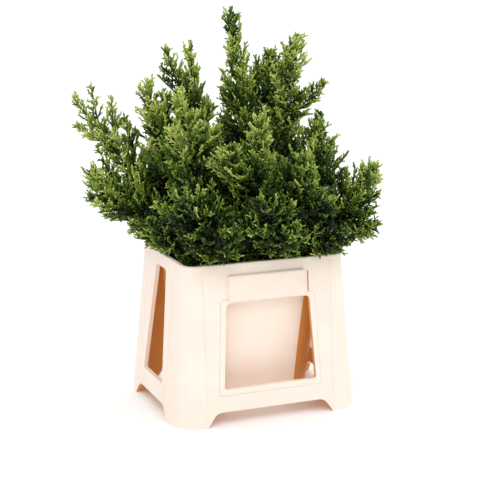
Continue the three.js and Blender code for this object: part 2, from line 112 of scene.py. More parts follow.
def seeded(seed: int) -> NumberRule:
    """Makes the bough's own number rule, the same one that its solid grows by.

    Args:
        seed: the bough's seed.

    Returns:
        A function that gives the next number from 0 to 1.
    """
    state = [seed & WORD]

    def draw() -> float:
        """Works out the next number.

        Returns:
            A number from 0 to 1.
        """
        state[0] = (state[0] + SEED_STEP) & WORD
        now = state[0]
        mixed = ((now ^ (now >> 15)) * (now | 1)) & WORD
        mixed = ((mixed + ((mixed ^ (mixed >> 7)) * (mixed | 61) & WORD)) & WORD) ^ mixed
        return ((mixed ^ (mixed >> 14)) & WORD) / (WORD + 1)

    return draw


# Finishes


def linear(colour: str) -> tuple[float, float, float, float]:
    """Turns an sRGB hex colour to linear light.

    Args:
        colour: such as "#fbf0df".

    Returns:
        Red, green, blue and an alpha of one.
    """
    parts = [int(colour[place : place + 2], 16) / 255 for place in (1, 3, 5)]
    light = [part / 12.92 if part <= 0.04045 else ((part + 0.055) / 1.055) ** 2.4 for part in parts]
    return light[0], light[1], light[2], 1.0


def add_node(tree: NodeTree, kind: str, sockets: dict[str, object] | None = None) -> Node:
    """Adds one shader node and fills its inputs.

    Args:
        tree: the tree that takes it.
        kind: its Blender type, without the ShaderNode in front.
        sockets: for each input, a value, or an output socket to link from.

    Returns:
        The new node.
    """
    made = tree.nodes.new(f"ShaderNode{kind}")
    for name, value in (sockets or {}).items():
        if isinstance(value, NodeSocket):
            tree.links.new(value, made.inputs[name])
        else:
            made.inputs[name].default_value = value
    return made


class FinishGraph:
    """A material in the making: patterns laid by the piece's own coordinates, and its surface."""

    def __init__(self, name: str) -> None:
        """Starts an empty material.

        Args:
            name: the finish's plain name.
        """
        self.material = bpy.data.materials.new(name)
        self.material.use_nodes = True
        self.tree = self.material.node_tree
        self.tree.nodes.clear()
        self.place = add_node(self.tree, "TexCoord").outputs["Object"]

    def stretched(self, scale: Triple) -> None:
        """Draws the patterns that follow longer or shorter along each axis."""
        mapped = add_node(self.tree, "Mapping", {"Vector": self.place, "Scale": scale})
        self.place = mapped.outputs["Vector"]

    def noise(self, size_mm: float, detail: float, rough: float = 0.5) -> NodeSocket:
        """Lays a cloudy pattern.

        Args:
            size_mm: the size of its spots.
            detail: how many finer levels it has.
            rough: how strong those are.

        Returns:
            The pattern's output.
        """
        sockets = {"Vector": self.place, "Scale": 1 / (size_mm * MM), "Detail": detail, "Roughness": rough}
        return add_node(self.tree, "TexNoise", sockets).outputs["Fac"]

    def two_tone(self, pattern: NodeSocket, low: str, high: str, span: Pair = (0.3, 0.7)) -> NodeSocket:
        """Colours a pattern from one sRGB colour to another.

        Args:
            pattern: the pattern's output.
            low: hex colour where the pattern is low.
            high: hex colour where it is high.
            span: the pattern's values where those two are reached.

        Returns:
            The colour output.
        """
        ramp = add_node(self.tree, "ValToRGB", {"Fac": pattern})
        for element, place, colour in zip(ramp.color_ramp.elements, span, (low, high), strict=True):
            element.position = place
            element.color = linear(colour)
        return ramp.outputs["Color"]

    def relief(self, pattern: NodeSocket, depth_mm: float, strength: float) -> NodeSocket:
        """Raises a pattern as fine relief.

        Args:
            pattern: the pattern's output.
            depth_mm: how far it stands out.
            strength: how much of it shows.

        Returns:
            The bent normal's output.
        """
        sockets = {"Height": pattern, "Distance": depth_mm * MM, "Strength": strength}
        return add_node(self.tree, "Bump", sockets).outputs["Normal"]

    def finished(self, sockets: dict[str, object]) -> Material:
        """Closes the material with its surface.

        Args:
            sockets: the surface's inputs, each a value or an output socket.

        Returns:
            The finished material.
        """
        surface = add_node(self.tree, "BsdfPrincipled", sockets)
        add_node(self.tree, "OutputMaterial", {"Surface": surface.outputs["BSDF"]})
        return self.material


@dataclass(frozen=True)
class MouldedPolypropylene:
    """Injection-moulded polypropylene: cream, faintly waxy, with soft flow marks, some real translucency,
    and a glow painted on by emission where glow is set.
    """

    name: str = "moulded_polypropylene"
    pale: str = "#f7eade"
    warm: str = "#f6e3d5"
    roughness: float = 0.48
    # glow: emission strength, a painted glow that stands for light coming through the thin walls; the
    # plastic is no lamp
    glow: float = 0.0
    ior: float = 1.49
    clear: float = 0.12
    clear_by_colour: Triple = (1.0, 0.45, 0.2)
    clear_mm: float = 4.0
    flow_mm: float = 70.0
    flow_detail: float = 3.0
    grain_mm: float = 1.4
    grain_detail: float = 2.0
    grain_depth_mm: float = 0.03
    grain_strength: float = 0.6

    def material(self) -> Material:
        """Builds the material.

        Returns:
            The finished material.
        """
        graph = FinishGraph(self.name)
        flow = graph.noise(self.flow_mm, self.flow_detail)
        grain = graph.noise(self.grain_mm, self.grain_detail)
        return graph.finished(
            {
                "Base Color": graph.two_tone(flow, self.warm, self.pale),
                "Roughness": self.roughness,
                "IOR": self.ior,
                "Subsurface Weight": self.clear,
                "Subsurface Radius": self.clear_by_colour,
                "Subsurface Scale": self.clear_mm * MM,
                # Painted glow: emission in the warm colour, at the glow's strength
                "Emission Color": linear(self.warm),
                "Emission Strength": self.glow,
                "Normal": graph.relief(grain, self.grain_depth_mm, self.grain_strength),
            }
        )


@dataclass(frozen=True)
class CypressScale:
    """Scale leaves pressed to a cord: leathery green, with a waxy shine broken up by the scales."""

    name: str
    base: str
    light: str
    shine: float = 0.28
    roughness: float = 0.48
    patch_mm: float = 9.0
    patch_detail: float = 2.0
    patch_rough: float = 0.6
    patch_span: Pair = (0.36, 0.64)
    scale_mm: float = 2.4
    scale_detail: float = 1.0
    depth_mm: float = 0.35
    strength: float = 1.0

    def material(self) -> Material:
        """Builds the material.

        Returns:
            The finished material.
        """
        graph = FinishGraph(self.name)
        patches = graph.noise(self.patch_mm, self.patch_detail, self.patch_rough)
        scales = graph.noise(self.scale_mm, self.scale_detail)
        return graph.finished(
            {
                "Base Color": graph.two_tone(patches, self.base, self.light, self.patch_span),
                "Roughness": self.roughness,
                "Specular IOR Level": self.shine,
                "Normal": graph.relief(scales, self.depth_mm, self.strength),
            }
        )


@dataclass(frozen=True)
class CypressBark:
    """Young cypress bark: red-brown, in thin strips that run along the stem and stand out a little."""

    name: str = "cypress_bark"
    dark: str = "#2e2116"
    pale: str = "#6d5239"
    roughness: float = 0.82
    strip_mm: float = 2.2
    strip_scale: Triple = (1.0, 1.0, 0.14)
    strip_detail: float = 4.0
    strip_rough: float = 0.6
    depth_mm: float = 0.35
    strength: float = 0.8

    def material(self) -> Material:
        """Builds the material.

        Returns:
            The finished material.
        """
        graph = FinishGraph(self.name)
        graph.stretched(self.strip_scale)
        strips = graph.noise(self.strip_mm, self.strip_detail, self.strip_rough)
        return graph.finished(
            {
                "Base Color": graph.two_tone(strips, self.dark, self.pale),
                "Roughness": self.roughness,
                "Normal": graph.relief(strips, self.depth_mm, self.strength),
            }
        )


@dataclass(frozen=True)
class StudioPaper:
    """Matt white studio paper, all but even, that gives soft light back to the object."""

    name: str = "studio_paper"
    base: str = "#fdfdfc"
    pale: str = "#ffffff"
    blotch_mm: float = 1000 / 0.7
    blotch_detail: float = 2.0
    roughness: float = 0.9
    shine: float = 0.1

    def material(self) -> Material:
        """Builds the material.

        Returns:
            The finished material.
        """
        graph = FinishGraph(self.name)
        colour = graph.two_tone(graph.noise(self.blotch_mm, self.blotch_detail), self.base, self.pale)
        return graph.finished(
            {"Base Color": colour, "Roughness": self.roughness, "Specular IOR Level": self.shine}
        )


# Making and declaring pieces


def piece_from(shape: BMesh, name: str) -> Object:
    """Turns a bmesh made in millimetres into an object in metres at the origin.

    Args:
        shape: the bmesh, which is freed.
        name: the piece's name.

    Returns:
        The linked object.
    """
    mesh = bpy.data.meshes.new(name)
    bmesh.ops.scale(shape, vec=(MM, MM, MM), verts=shape.verts)
    shape.to_mesh(mesh)
    shape.free()
    made = bpy.data.objects.new(name, mesh)
    bpy.context.scene.collection.objects.link(made)
    return made


def round_off(shape: BMesh, items: Sequence[BMVert | BMEdge], radius: float, steps: int) -> None:
    """Rounds the corners of a flat outline, or the edges of a solid.

    Args:
        shape: the bmesh that changes.
        items: the corners, or the edges.
        radius: how far from each the round starts.
        steps: how many flats it has.
    """
    bmesh.ops.bevel(
        shape,
        geom=items,
        offset=radius,
        offset_type="OFFSET",
        segments=steps,
        profile=0.5,
        affect="VERTICES" if isinstance(items[0], BMVert) else "EDGES",
        material=-1,
    )


def settle(piece: Object) -> None:
    """Applies a piece's modifiers to its mesh.

    Args:
        piece: the piece that changes.
    """
    graph = bpy.context.evaluated_depsgraph_get()
    done = bpy.data.meshes.new_from_object(piece.evaluated_get(graph))
    piece.modifiers.clear()
    old = piece.data
    done.name = old.name
    piece.data = done
    bpy.data.meshes.remove(old)


def combine(piece: Object, other: Object, operation: str) -> None:
    """Adds another solid to a piece or cuts it away, and removes it.

    Args:
        piece: the piece that changes.
        other: the solid that is used up.
        operation: UNION or DIFFERENCE.
    """
    step = piece.modifiers.new(operation.lower(), "BOOLEAN")
    step.operation = operation
    step.object = other
    step.solver = "EXACT"
    step.use_self = True
    settle(piece)
    bpy.data.objects.remove(other)


def joined(name: str, points: np.ndarray, triangles: np.ndarray) -> Object:
    """Makes one smooth mesh of many small things.

    Args:
        name: the piece's name.
        points: corners, in millimetres.
        triangles: three corners each.

    Returns:
        The linked object.
    """
    mesh = bpy.data.meshes.new(name)
    mesh.vertices.add(len(points))
    mesh.vertices.foreach_set("co", (points * MM).astype(np.float32).ravel())
    mesh.loops.add(len(triangles) * 3)
    mesh.loops.foreach_set("vertex_index", triangles.astype(np.int32).ravel())
    mesh.polygons.add(len(triangles))
    mesh.polygons.foreach_set("loop_start", np.arange(0, 3 * len(triangles), 3, dtype=np.int32))
    mesh.polygons.foreach_set("use_smooth", np.ones(len(triangles), dtype=bool))
    mesh.update(calc_edges=True)
    made = bpy.data.objects.new(name, mesh)
    bpy.context.scene.collection.objects.link(made)
    return made


def declare(piece: Object, material: Material, nodes: Sequence[str]) -> None:
    """Dresses a piece and says what it stands for.

    Args:
        piece: the finished piece.
        material: its finish.
        nodes: the solids that it replaces.
    """
    piece.data.materials.clear()
    piece.data.materials.append(material)
    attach(piece, "root")
    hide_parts(*nodes)
    LOG.info("%s: %d faces, for %d solids", piece.name, len(piece.data.polygons), len(nodes))


# The bucket


class Side(Enum):
    """Side of the bucket, by the turn that brings the front to it, in degrees."""

    FRONT = 0
    RIGHT = 90
    BACK = 180
    LEFT = 270

    @property
    def wide(self) -> bool:
        """Whether it is one of the two long sides."""
        return self in (Side.FRONT, Side.BACK)


@dataclass(frozen=True)
class Patch:
    """Four-sided area on one side of the skirt, with rounded corners."""

    top: float
    bottom: float
    half_top: float
    half_bottom: float
    corner: float
    middle: float = 0.0

    def grown(self, more: float) -> "Patch":
        """The same area, larger all round."""
        return Patch(
            self.top + more,
            self.bottom - more,
            self.half_top + more,
            self.half_bottom + more,
            self.corner + more,
            self.middle,
        )


class Skin(Enum):
    """Finish of one of the bucket's faces, by its place among the piece's finishes."""

    PLAIN = 0
    # Orange painted light, for light that comes through the plastic into the gap
    LIT_THROUGH = 1
    # A pale cream with a painted glow, for walls deep in the gap
    SHADED = 2


@dataclass
class FloristBucket:
    """Tapered bucket hung inside a flared skirt, moulded in one, with windows, feet and grip plates."""

    # The skirt's outer face, from the rim to the ground
    height: float = 310.0
    rim_half: Pair = (165.0, 131.0)
    flare: float = 30.0
    rim_corner: float = 24.0
    foot_corner: float = 60.0
    foot_height: float = 0.25
    wall: float = 2.5
    # How deep an added solid is sunk in the wall, and how far a cut runs past it
    rooted: float = 1.2
    clear: float = 3.0
    # How many flats a round has
    corner_steps: int = 10
    patch_steps: int = 5
    grip_steps: int = 4
    # The rim: how far each level lies below the top and outside the rim's half sizes
    crest: Table = (
        (1.4, -6.9), (0.4, -6.2), (0.0, -4.9), (0.0, -2.0), (0.5, -0.4),
        (1.6, 0.56), (3.0, 0.7), (6.5, 1.2), (7.0, 0.75),
    )
    # The inner bucket: height, half width, half depth and corner radius of each level
    hollow: tuple[tuple[float, float, float, float], ...] = (
        (4.0, 115.5, 79.5, 47.5),
        (155.0, 135.5, 96.5, 61.5),
        (232.0, 145.5, 105.5, 66.5),
        (282.0, 151.5, 116.5, 37.5),
        (306.0, 156.9, 123.0, 19.0),
    )
    # The openings, how far out their cuts run, and the flange behind them
    wide_window: Patch = Patch(235.0, 70.0, 86.0, 96.0, 7.0)
    narrow_window: Patch = Patch(284.0, 64.0, 29.0, 57.0, 5.0)
    wide_notch: Patch = Patch(27.0, -12.0, 112.0, 140.0, 9.0)
    narrow_notch: Patch = Patch(27.0, -12.0, 73.0, 101.0, 9.0)
    cut_from: Pair = (118.0, 159.0)
    cut_to: float = 215.0
    flange_depth: float = 5.5
    flange_thick: float = 2.5
    # The grip plates and the narrow slots at their ends
    grip: Patch = Patch(289.0, 237.5, 79.0, 79.0, 5.0, -2.5)
    grip_raise: float = 7.0
    grip_round: float = 4.2
    slot_middle: float = 84.3
    slot_half: float = 1.3
    slot_top: float = 284.0
    slot_bottom: float = 244.0
    slot_deep: float = 2.0
    slot_clear: float = 12.0
    slot_room: Pair = (0.2, 1.0)
    slot_lip: float = 0.4
    # The raised frames round the wide windows, and the fine line that is sunk round them
    frame_wide: float = 10.5
    frame_raise: float = 0.8
    frame_under_grip: float = 4.0
    frame_corner: float = 4.0
    moat_room: float = 1.1
    moat_deep: float = 0.9
    # The mould grooves: top and bottom, and their places on the wide and the narrow sides
    groove_span: Pair = (302.0, 34.0)
    groove_places: Pair = (132.0, 78.0)
    groove_half: float = 0.8
    groove_deep: float = 0.7
    # Which faces take the painted light: orange painted light through the plastic, or a pale painted glow
    plain_rim: float = 9.0
    level_face: float = 0.8
    end_face: float = 0.1
    skin_room: float = 1.3
    # Cleaning the mesh
    sharp_degrees: float = 32.0
    ground_m: float = 1e-5
    cut_room_m: float = 1e-7
    weld_m: float = 2e-5
    flat_degrees: float = 0.3
    finish: MouldedPolypropylene = MouldedPolypropylene()
    # Painted light: an orange colour and a glow that stand for light coming through the thin plastic into
    # the gap, not the plastic's own colour
    lit_through: MouldedPolypropylene = MouldedPolypropylene(
        "polypropylene_lit_through", "#cf9250", "#c48442", 0.5, glow=0.18
    )
    # Painted glow: a paler cream with a faint glow for the walls seen deep in the gap, standing for light
    # that comes through the plastic
    shaded: MouldedPolypropylene = MouldedPolypropylene(
        "polypropylene_painted_gap_glow", "#fbece0", "#f8e6d6", 0.45, glow=0.08
    )

    def reach(self, side: Side, height: float) -> float:
        """How far out the skirt stands on a side at a height."""
        return self.rim_half[1 if side.wide else 0] + self.flare * (self.height - height) / self.height

    def ring(
        self, shape: BMesh, height: float, half_x: float, half_y: float, corner: float
    ) -> list[BMEdge]:
        """Adds one rounded ring to the shell.

        Args:
            shape: the shell.
            height: the ring's height.
            half_x: half its width.
            half_y: half its depth.
            corner: the radius of its corners.

        Returns:
            The ring's edges.
        """
        before = set(shape.edges)
        corners = [
            shape.verts.new((across * half_x, deep * half_y, height))
            for across, deep in ((-1, -1), (1, -1), (1, 1), (-1, 1))
        ]
        shape.faces.new(corners)
        round_off(shape, corners, corner, self.corner_steps)
        made = [edge for edge in shape.edges if edge not in before]
        faces = {face for edge in made for face in edge.link_faces}
        bmesh.ops.delete(shape, geom=list(faces), context="FACES_ONLY")
        return made

    def rings(self) -> list[tuple[float, float, float, float]]:
        """Levels of the shell, from the bucket's floor up, over the rim and down the skirt.

        Returns:
            Height, half width, half depth and corner radius of each.
        """
        half_x, half_y = self.rim_half
        levels = ((self.height - drop, out) for drop, out in self.crest)
        over = [(z, half_x + out, half_y + out, self.rim_corner + out) for z, out in levels]
        foot = (self.foot_height, half_x + self.flare, half_y + self.flare, self.foot_corner)
        return [*self.hollow, *over, foot]

    def shell(self) -> Object:
        """Lofts the bucket, rim and skirt as one wall.

        Returns:
            The closed solid.
        """
        shape = bmesh.new()
        loops = [self.ring(shape, *level) for level in self.rings()]
        bmesh.ops.edgeloop_fill(shape, edges=loops[0])
        for lower, upper in zip(loops, loops[1:], strict=False):
            bmesh.ops.bridge_loops(shape, edges=lower + upper)
        bmesh.ops.recalc_face_normals(shape, faces=shape.faces)
        shape.faces.ensure_lookup_table()
        level = [face for face in shape.faces if abs(face.normal.z) > self.level_face]
        floor = min(level, key=lambda face: face.calc_center_median().z)
        if floor.normal.z < 0:
            bmesh.ops.reverse_faces(shape, faces=shape.faces)
        made = piece_from(shape, "florist_bucket")
        wall = made.modifiers.new("wall", "SOLIDIFY")
        wall.thickness = self.wall * MM
        wall.offset = -1.0
        wall.use_even_offset = True
        settle(made)
        return made

    def block(
        self, shape: BMesh, side: Side, patch: Patch, inner: float, outer: float, follow: bool
    ) -> None:
        """Adds a solid whose face is a patch on one side of the skirt.

        Args:
            shape: the bmesh that takes it.
            side: the skirt's side.
            patch: the solid's outline.
            inner: how far out its inner face stands, from the skirt's face where it follows that.
            outer: how far out its outer face stands.
            follow: whether it leans with the skirt.
        """
        before = set(shape.verts)
        shift = patch.middle
        corners = [
            shape.verts.new((shift + across, -inner, height))
            for across, height in (
                (-patch.half_bottom, patch.bottom),
                (patch.half_bottom, patch.bottom),
                (patch.half_top, patch.top),
                (-patch.half_top, patch.top),
            )
        ]
        shape.faces.new(corners)
        if patch.corner > 0:
            round_off(shape, corners, patch.corner, self.patch_steps)
        flat = [face for face in shape.faces if not (set(face.verts) & before)]
        pulled = bmesh.ops.extrude_face_region(shape, geom=flat)
        moved = [item for item in pulled["geom"] if isinstance(item, BMVert)]
        bmesh.ops.translate(shape, verts=moved, vec=(0, inner - outer, 0))
        made = [vert for vert in shape.verts if vert not in before]
        if follow:
            for vert in made:
                vert.co.y -= self.reach(side, vert.co.z)
        faces = {face for vert in made for face in vert.link_faces}
        bmesh.ops.recalc_face_normals(shape, faces=list(faces))
        turn = Matrix.Rotation(math.radians(side.value), 3, "Z")
        bmesh.ops.rotate(shape, cent=(0, 0, 0), matrix=turn, verts=made)

    def openings(self, side: Side) -> tuple[Patch, Patch]:
        """The window and the notch between the feet, on one side."""
        wide = (self.wide_window, self.wide_notch)
        return wide if side.wide else (self.narrow_window, self.narrow_notch)

    def added(self) -> Object:
        """Flanges behind the openings, and raised frames.

        Returns:
            One object of solids that are added to the shell.
        """
        shape = bmesh.new()
        behind = self.wall + self.flange_depth
        for side in Side:
            for opening in self.openings(side):
                self.block(shape, side, opening.grown(self.flange_thick), -behind, -self.rooted, True)
            if side.wide:
                self.block(shape, side, self.framed(), -self.rooted, self.frame_raise, True)
        return piece_from(shape, "bucket_added")

    def moats(self) -> Object:
        """Shallow areas round the window frames, which leave a fine line when the frames are added.

        Returns:
            One object of two solids.
        """
        shape = bmesh.new()
        for side in (Side.FRONT, Side.BACK):
            self.block(shape, side, self.framed().grown(self.moat_room), -self.moat_deep, self.clear, True)
        return piece_from(shape, "bucket_moats")

    def framed(self) -> Patch:
        """The raised frame round a wide window.

        Returns:
            Its outline.
        """
        window, wide = self.wide_window, self.frame_wide
        return Patch(
            self.grip.bottom + self.frame_under_grip,
            window.bottom - wide,
            window.half_top + wide,
            window.half_bottom + wide,
            self.frame_corner,
        )

    def plates(self) -> Object:
        """The two raised grip plates, with rounded edges.

        Returns:
            One object of two solids.
        """
        shape = bmesh.new()
        for side in (Side.FRONT, Side.BACK):
            self.block(shape, side, self.grip, -self.rooted, self.grip_raise, True)
        half = self.grip_raise / 2
        rims = [
            edge
            for edge in shape.edges
            if all(abs(vert.co.y) > self.reach(Side.FRONT, vert.co.z) + half for vert in edge.verts)
            and edge.verts[0].co.y * edge.verts[1].co.y > 0
        ]
        round_off(shape, rims, self.grip_round, self.grip_steps)
        return piece_from(shape, "bucket_plates")

    def removed(self) -> Object:
        """Windows, notches between the feet, end slots of the grips and mould grooves.

        Returns:
            One object of solids that are cut from the shell.
        """
        shape = bmesh.new()
        for side in Side:
            which = 0 if side.wide else 1
            for opening in self.openings(side):
                self.block(shape, side, opening, self.cut_from[which], self.cut_to, False)
            half = self.groove_half
            for place in (-self.groove_places[which], self.groove_places[which]):
                groove = Patch(*self.groove_span, half, half, 0.0, place)
                self.block(shape, side, groove, -self.groove_deep, self.clear, True)
            half = self.slot_half
            for place in (-self.slot_middle, self.slot_middle) if side.wide else ():
                slit = Patch(self.slot_top, self.slot_bottom, half, half, 0.0, place)
                self.block(shape, side, slit, -self.slot_deep, self.slot_clear, True)
        return piece_from(shape, "bucket_removed")

    def build(self) -> Object:
        """Builds and dresses the bucket.

        Returns:
            The finished piece.
        """
        made = self.shell()
        combine(made, self.moats(), "DIFFERENCE")
        combine(made, self.added(), "UNION")
        combine(made, self.plates(), "UNION")
        combine(made, self.removed(), "DIFFERENCE")
        self.trim_underside(made)
        made.data.shade_smooth()
        made.data.set_sharp_from_angle(angle=math.radians(self.sharp_degrees))
        even = made.modifiers.new("even_light", "WEIGHTED_NORMAL")
        even.keep_sharp = True
        declare(made, self.finish.material(), ["bucket", "skirt"])
        # Second and third finishes: orange painted light and a pale painted glow, dealt out to faces below
        made.data.materials.append(self.lit_through.material())
        made.data.materials.append(self.shaded.material())
        self.deal_finishes(made.data)
        return made

    def deal_finishes(self, mesh: Mesh) -> None:
        """Gives the sides that face the gap between bucket and skirt their painted light: orange for light
        through the plastic, or a pale painted glow.

        Args:
            mesh: the bucket's mesh.
        """
        heights, *columns = zip(*self.hollow, strict=True)
        for face in mesh.polygons:
            x, y, z = (part / MM for part in face.center)
            if z > self.height - self.plain_rim or abs(face.normal.z) > self.level_face:
                continue
            share = (self.height - z) / self.height
            half_x, half_y = (half + self.flare * share for half in self.rim_half)
            corner = mix(self.rim_corner, self.foot_corner, share)
            from_skirt = self.beyond(x, y, half_x, half_y, corner)
            sizes = [float(np.interp(z, heights, column)) + self.wall for column in columns]
            from_bucket = self.beyond(x, y, *sizes)
            facing = face.normal.x * x + face.normal.y * y
            skin = Skin.PLAIN
            # Painted light: slots where x and y differ in sign, the skirt's inside and the bucket's ends
            # take orange painted light; other slots and the bucket's long walls in the gap take a pale
            # painted glow
            if self.in_slot(x, z, from_skirt):
                skin = Skin.LIT_THROUGH if x * y < 0 else Skin.SHADED
            elif facing < 0 and abs(from_skirt + self.wall) < self.skin_room:
                skin = Skin.LIT_THROUGH
            elif facing > 0 and abs(from_bucket) < self.skin_room:
                skin = Skin.LIT_THROUGH if abs(face.normal.x) > self.end_face else Skin.SHADED
            face.material_index = skin.value

    def in_slot(self, x: float, z: float, from_skirt: float) -> bool:
        """Whether a face lies in one of the narrow slots at the ends of the grip plates.

        Args:
            x: its middle's place across.
            z: its height.
            from_skirt: how far outside the skirt's face it lies.

        Returns:
            True in a slot.
        """
        middle, half = (self.slot_top + self.slot_bottom) / 2, (self.slot_top - self.slot_bottom) / 2
        room, tall_room = self.slot_room
        beside = abs(abs(x) - self.slot_middle) < self.slot_half + room
        level = abs(z - middle) < half + tall_room
        return beside and level and -self.slot_deep - room < from_skirt < -self.slot_lip

    @staticmethod
    def beyond(x: float, y: float, half_x: float, half_y: float, corner: float) -> float:
        """How far a point lies outside a rounded rectangle.

        Args:
            x: its place across.
            y: its place front to back.
            half_x: half the rectangle's width.
            half_y: half its depth.
            corner: the radius of its corners.

        Returns:
            The distance, below zero inside.
        """
        over_x, over_y = abs(x) - half_x + corner, abs(y) - half_y + corner
        return math.hypot(max(over_x, 0), max(over_y, 0)) + min(max(over_x, over_y), 0) - corner

    def trim_underside(self, piece: Object) -> None:
        """Cuts off whatever hangs below the feet, and cleans the mesh.

        Args:
            piece: the bucket.
        """
        shape = bmesh.new()
        shape.from_mesh(piece.data)
        everything = [*shape.verts, *shape.edges, *shape.faces]
        cut = bmesh.ops.bisect_plane(
            shape,
            geom=everything,
            dist=self.cut_room_m,
            plane_co=(0, 0, self.ground_m),
            plane_no=(0, 0, 1),
            clear_inner=True,
        )
        edges = [item for item in cut["geom_cut"] if isinstance(item, BMEdge)]
        bmesh.ops.holes_fill(shape, edges=[edge for edge in edges if edge.is_boundary], sides=0)
        bmesh.ops.remove_doubles(shape, verts=shape.verts, dist=self.weld_m)
        bmesh.ops.dissolve_limit(
            shape,
            angle_limit=math.radians(self.flat_degrees),
            verts=shape.verts,
            edges=shape.edges,
            use_dissolve_boundaries=False,
        )
        shape.to_mesh(piece.data)
        shape.free()


# The plant


@dataclass(frozen=True)
class Fork:
    """One limb of a bough: where it leaves the first limb, where and how full and how bright it ends."""

    leaves: float
    reach: Triple
    girth: float
    sprays: int
    lift: float
    bright: float = 0.0


@dataclass(frozen=True)
class Bough:
    """One cut bough: where it passes the bucket's mouth, its seed, its yellowness and its limbs."""

    name: str
    mouth: Triple
    seed: int
    yellow: float
    forks: tuple[Fork, ...]


IN_MOUTH = 276.0
OVER_RIM = 315.0

BOUGHS = (
    Bough("top", (46, 16, IN_MOUTH), 11, -0.08, (
        Fork(0, (-7, 41, 770), 78, 26, 0.25, 0.15), Fork(0.3, (78, 38, 682), 80, 18, 0.3),
        Fork(0.35, (-22, 30, 640), 38, 9, 0.25), Fork(0.9, (12, 41, 766), 10, 2, 0.1, 0.15))),
    Bough("right_spike", (92, -10, IN_MOUTH), 12, 0.04, (
        Fork(0, (74, -14, 646), 58, 20, 0.3, 0.1), Fork(0.78, (116, -12, 718), 46, 13, -0.4, 0.24),
        Fork(0.66, (172, -10, 628), 34, 10, 0.05, 0.1))),
    Bough("right_shoulder", (124, -42, OVER_RIM), 13, 0.06, (
        Fork(0, (128, -71, 552), 72, 16, 0.3, 0.1), Fork(0.4, (166, -4, 562), 46, 11, 0.15))),
    Bough("far_right", (136, -76, OVER_RIM), 14, 0.25, (
        Fork(0, (230, -115, 472), 68, 15, 0.3, 0.15), Fork(0.25, (212, -146, 356), 52, 12, -0.1))),
    Bough("left_spike", (-48, 42, IN_MOUTH), 15, 0.0, (
        Fork(0, (-85, 56, 704), 70, 20, 0.2, 0.1), Fork(0.5, (-120, 98, 694), 48, 9, 0.2))),
    Bough("left_branch", (-92, 44, IN_MOUTH), 16, 0.04, (
        Fork(0, (-168, 71, 634), 84, 18, 0.3, 0.16), Fork(0.4, (-66, -12, 592), 58, 9, 0.2),
        Fork(0.5, (-140, 40, 612), 50, 9, 0.2, 0.1))),
    Bough("far_left", (-124, 58, OVER_RIM), 17, 0.2, (
        Fork(0, (-296, 140, 605), 42, 15, 0.15, 0.2), Fork(0.55, (-228, 114, 602), 24, 6, 0.2, 0.16),
        Fork(0.6, (-296, 130, 549), 22, 6, 0.0, 0.2), Fork(0.66, (-264, 128, 624), 20, 5, 0.25, 0.16),
        Fork(0.3, (-206, 94, 560), 38, 9, 0.2, -0.2))),
    Bough("left", (-134, 20, OVER_RIM), 18, 0.22, (
        Fork(0, (-274, 115, 454), 76, 18, 0.25, 0.2), Fork(0.35, (-290, 76, 418), 38, 9, 0.1, 0.1),
        Fork(0.45, (-258, 116, 506), 26, 6, 0.2))),
    Bough("left_low", (-138, -22, OVER_RIM), 19, 0.04, (
        Fork(0, (-202, 52, 386), 38, 14, 0.15), Fork(0.2, (-166, -26, 372), 36, 9, 0.1))),
    Bough("front_left", (-84, -36, IN_MOUTH), 20, 0.02, (
        Fork(0, (-140, -39, 622), 78, 18, 0.35, 0.42), Fork(0.4, (-118, -99, 560), 64, 10, 0.3, 0.2))),
    Bough("front", (-8, -42, IN_MOUTH), 21, 0.0, (
        Fork(0, (-16, -140, 580), 84, 20, 0.35, 0.36), Fork(0.35, (-88, -142, 526), 68, 12, 0.3, 0.16))),
    Bough("front_right", (70, -62, IN_MOUTH), 22, 0.0, (
        Fork(0, (34, -188, 512), 84, 18, 0.35, 0.14), Fork(0.3, (84, -196, 436), 66, 12, 0.3, 0.1))),
    Bough("front_low", (18, -98, OVER_RIM), 23, 0.0, (
        Fork(0, (-52, -222, 432), 78, 14, 0.3), Fork(0.2, (6, -232, 376), 62, 10, 0.15, 0.22))),
    Bough("front_left_low", (-88, -90, OVER_RIM), 24, 0.0, (
        Fork(0, (-162, -134, 432), 78, 15, 0.3, 0.16), Fork(0.2, (-122, -182, 372), 62, 10, 0.15))),
    Bough("right_low", (112, -102, OVER_RIM), 25, -0.05, (Fork(0, (106, -182, 366), 66, 13, 0.15),)),
    Bough("back", (12, 88, IN_MOUTH), 26, 0.0, (
        Fork(0, (40, 180, 545), 88, 18, 0.35, 0.2), Fork(0.25, (30, 248, 400), 70, 12, 0.2))),
    Bough("back_left", (-84, 92, IN_MOUTH), 27, 0.0, (
        Fork(0, (-96, 172, 530), 84, 16, 0.35, 0.2), Fork(0.25, (-166, 190, 392), 68, 11, 0.2))),
    Bough("back_right", (92, 86, IN_MOUTH), 28, 0.0, (
        Fork(0, (142, 152, 572), 86, 18, 0.3, 0.2), Fork(0.25, (150, 218, 402), 68, 11, 0.2))),
    Bough("right_back", (136, 30, OVER_RIM), 29, 0.08, (Fork(0, (204, 62, 446), 62, 16, 0.3, 0.1),)),
)


@dataclass(frozen=True)
class Limb:
    """Cubic curve that a limb follows."""

    knots: np.ndarray

    def points(self, shares: np.ndarray | float) -> np.ndarray:
        """Places along the limb.

        Args:
            shares: one or more, from 0 at the root to 1 at the tip.

        Returns:
            One row for each.
        """
        part = np.asarray(shares, dtype=float)[..., None]
        rest = 1 - part
        first, second, third, last = self.knots
        return rest**3 * first + 3 * rest**2 * part * second + 3 * rest * part**2 * third + part**3 * last

    def tangents(self, shares: np.ndarray | float) -> np.ndarray:
        """Directions along the limb.

        Args:
            shares: one or more, as for the places.

        Returns:
            One unit row for each.
        """
        part = np.asarray(shares, dtype=float)[..., None]
        rest = 1 - part
        first, second, third, last = self.knots
        slope = rest**2 * (second - first) + 2 * rest * part * (third - second) + part**2 * (last - third)
        return unit(slope)


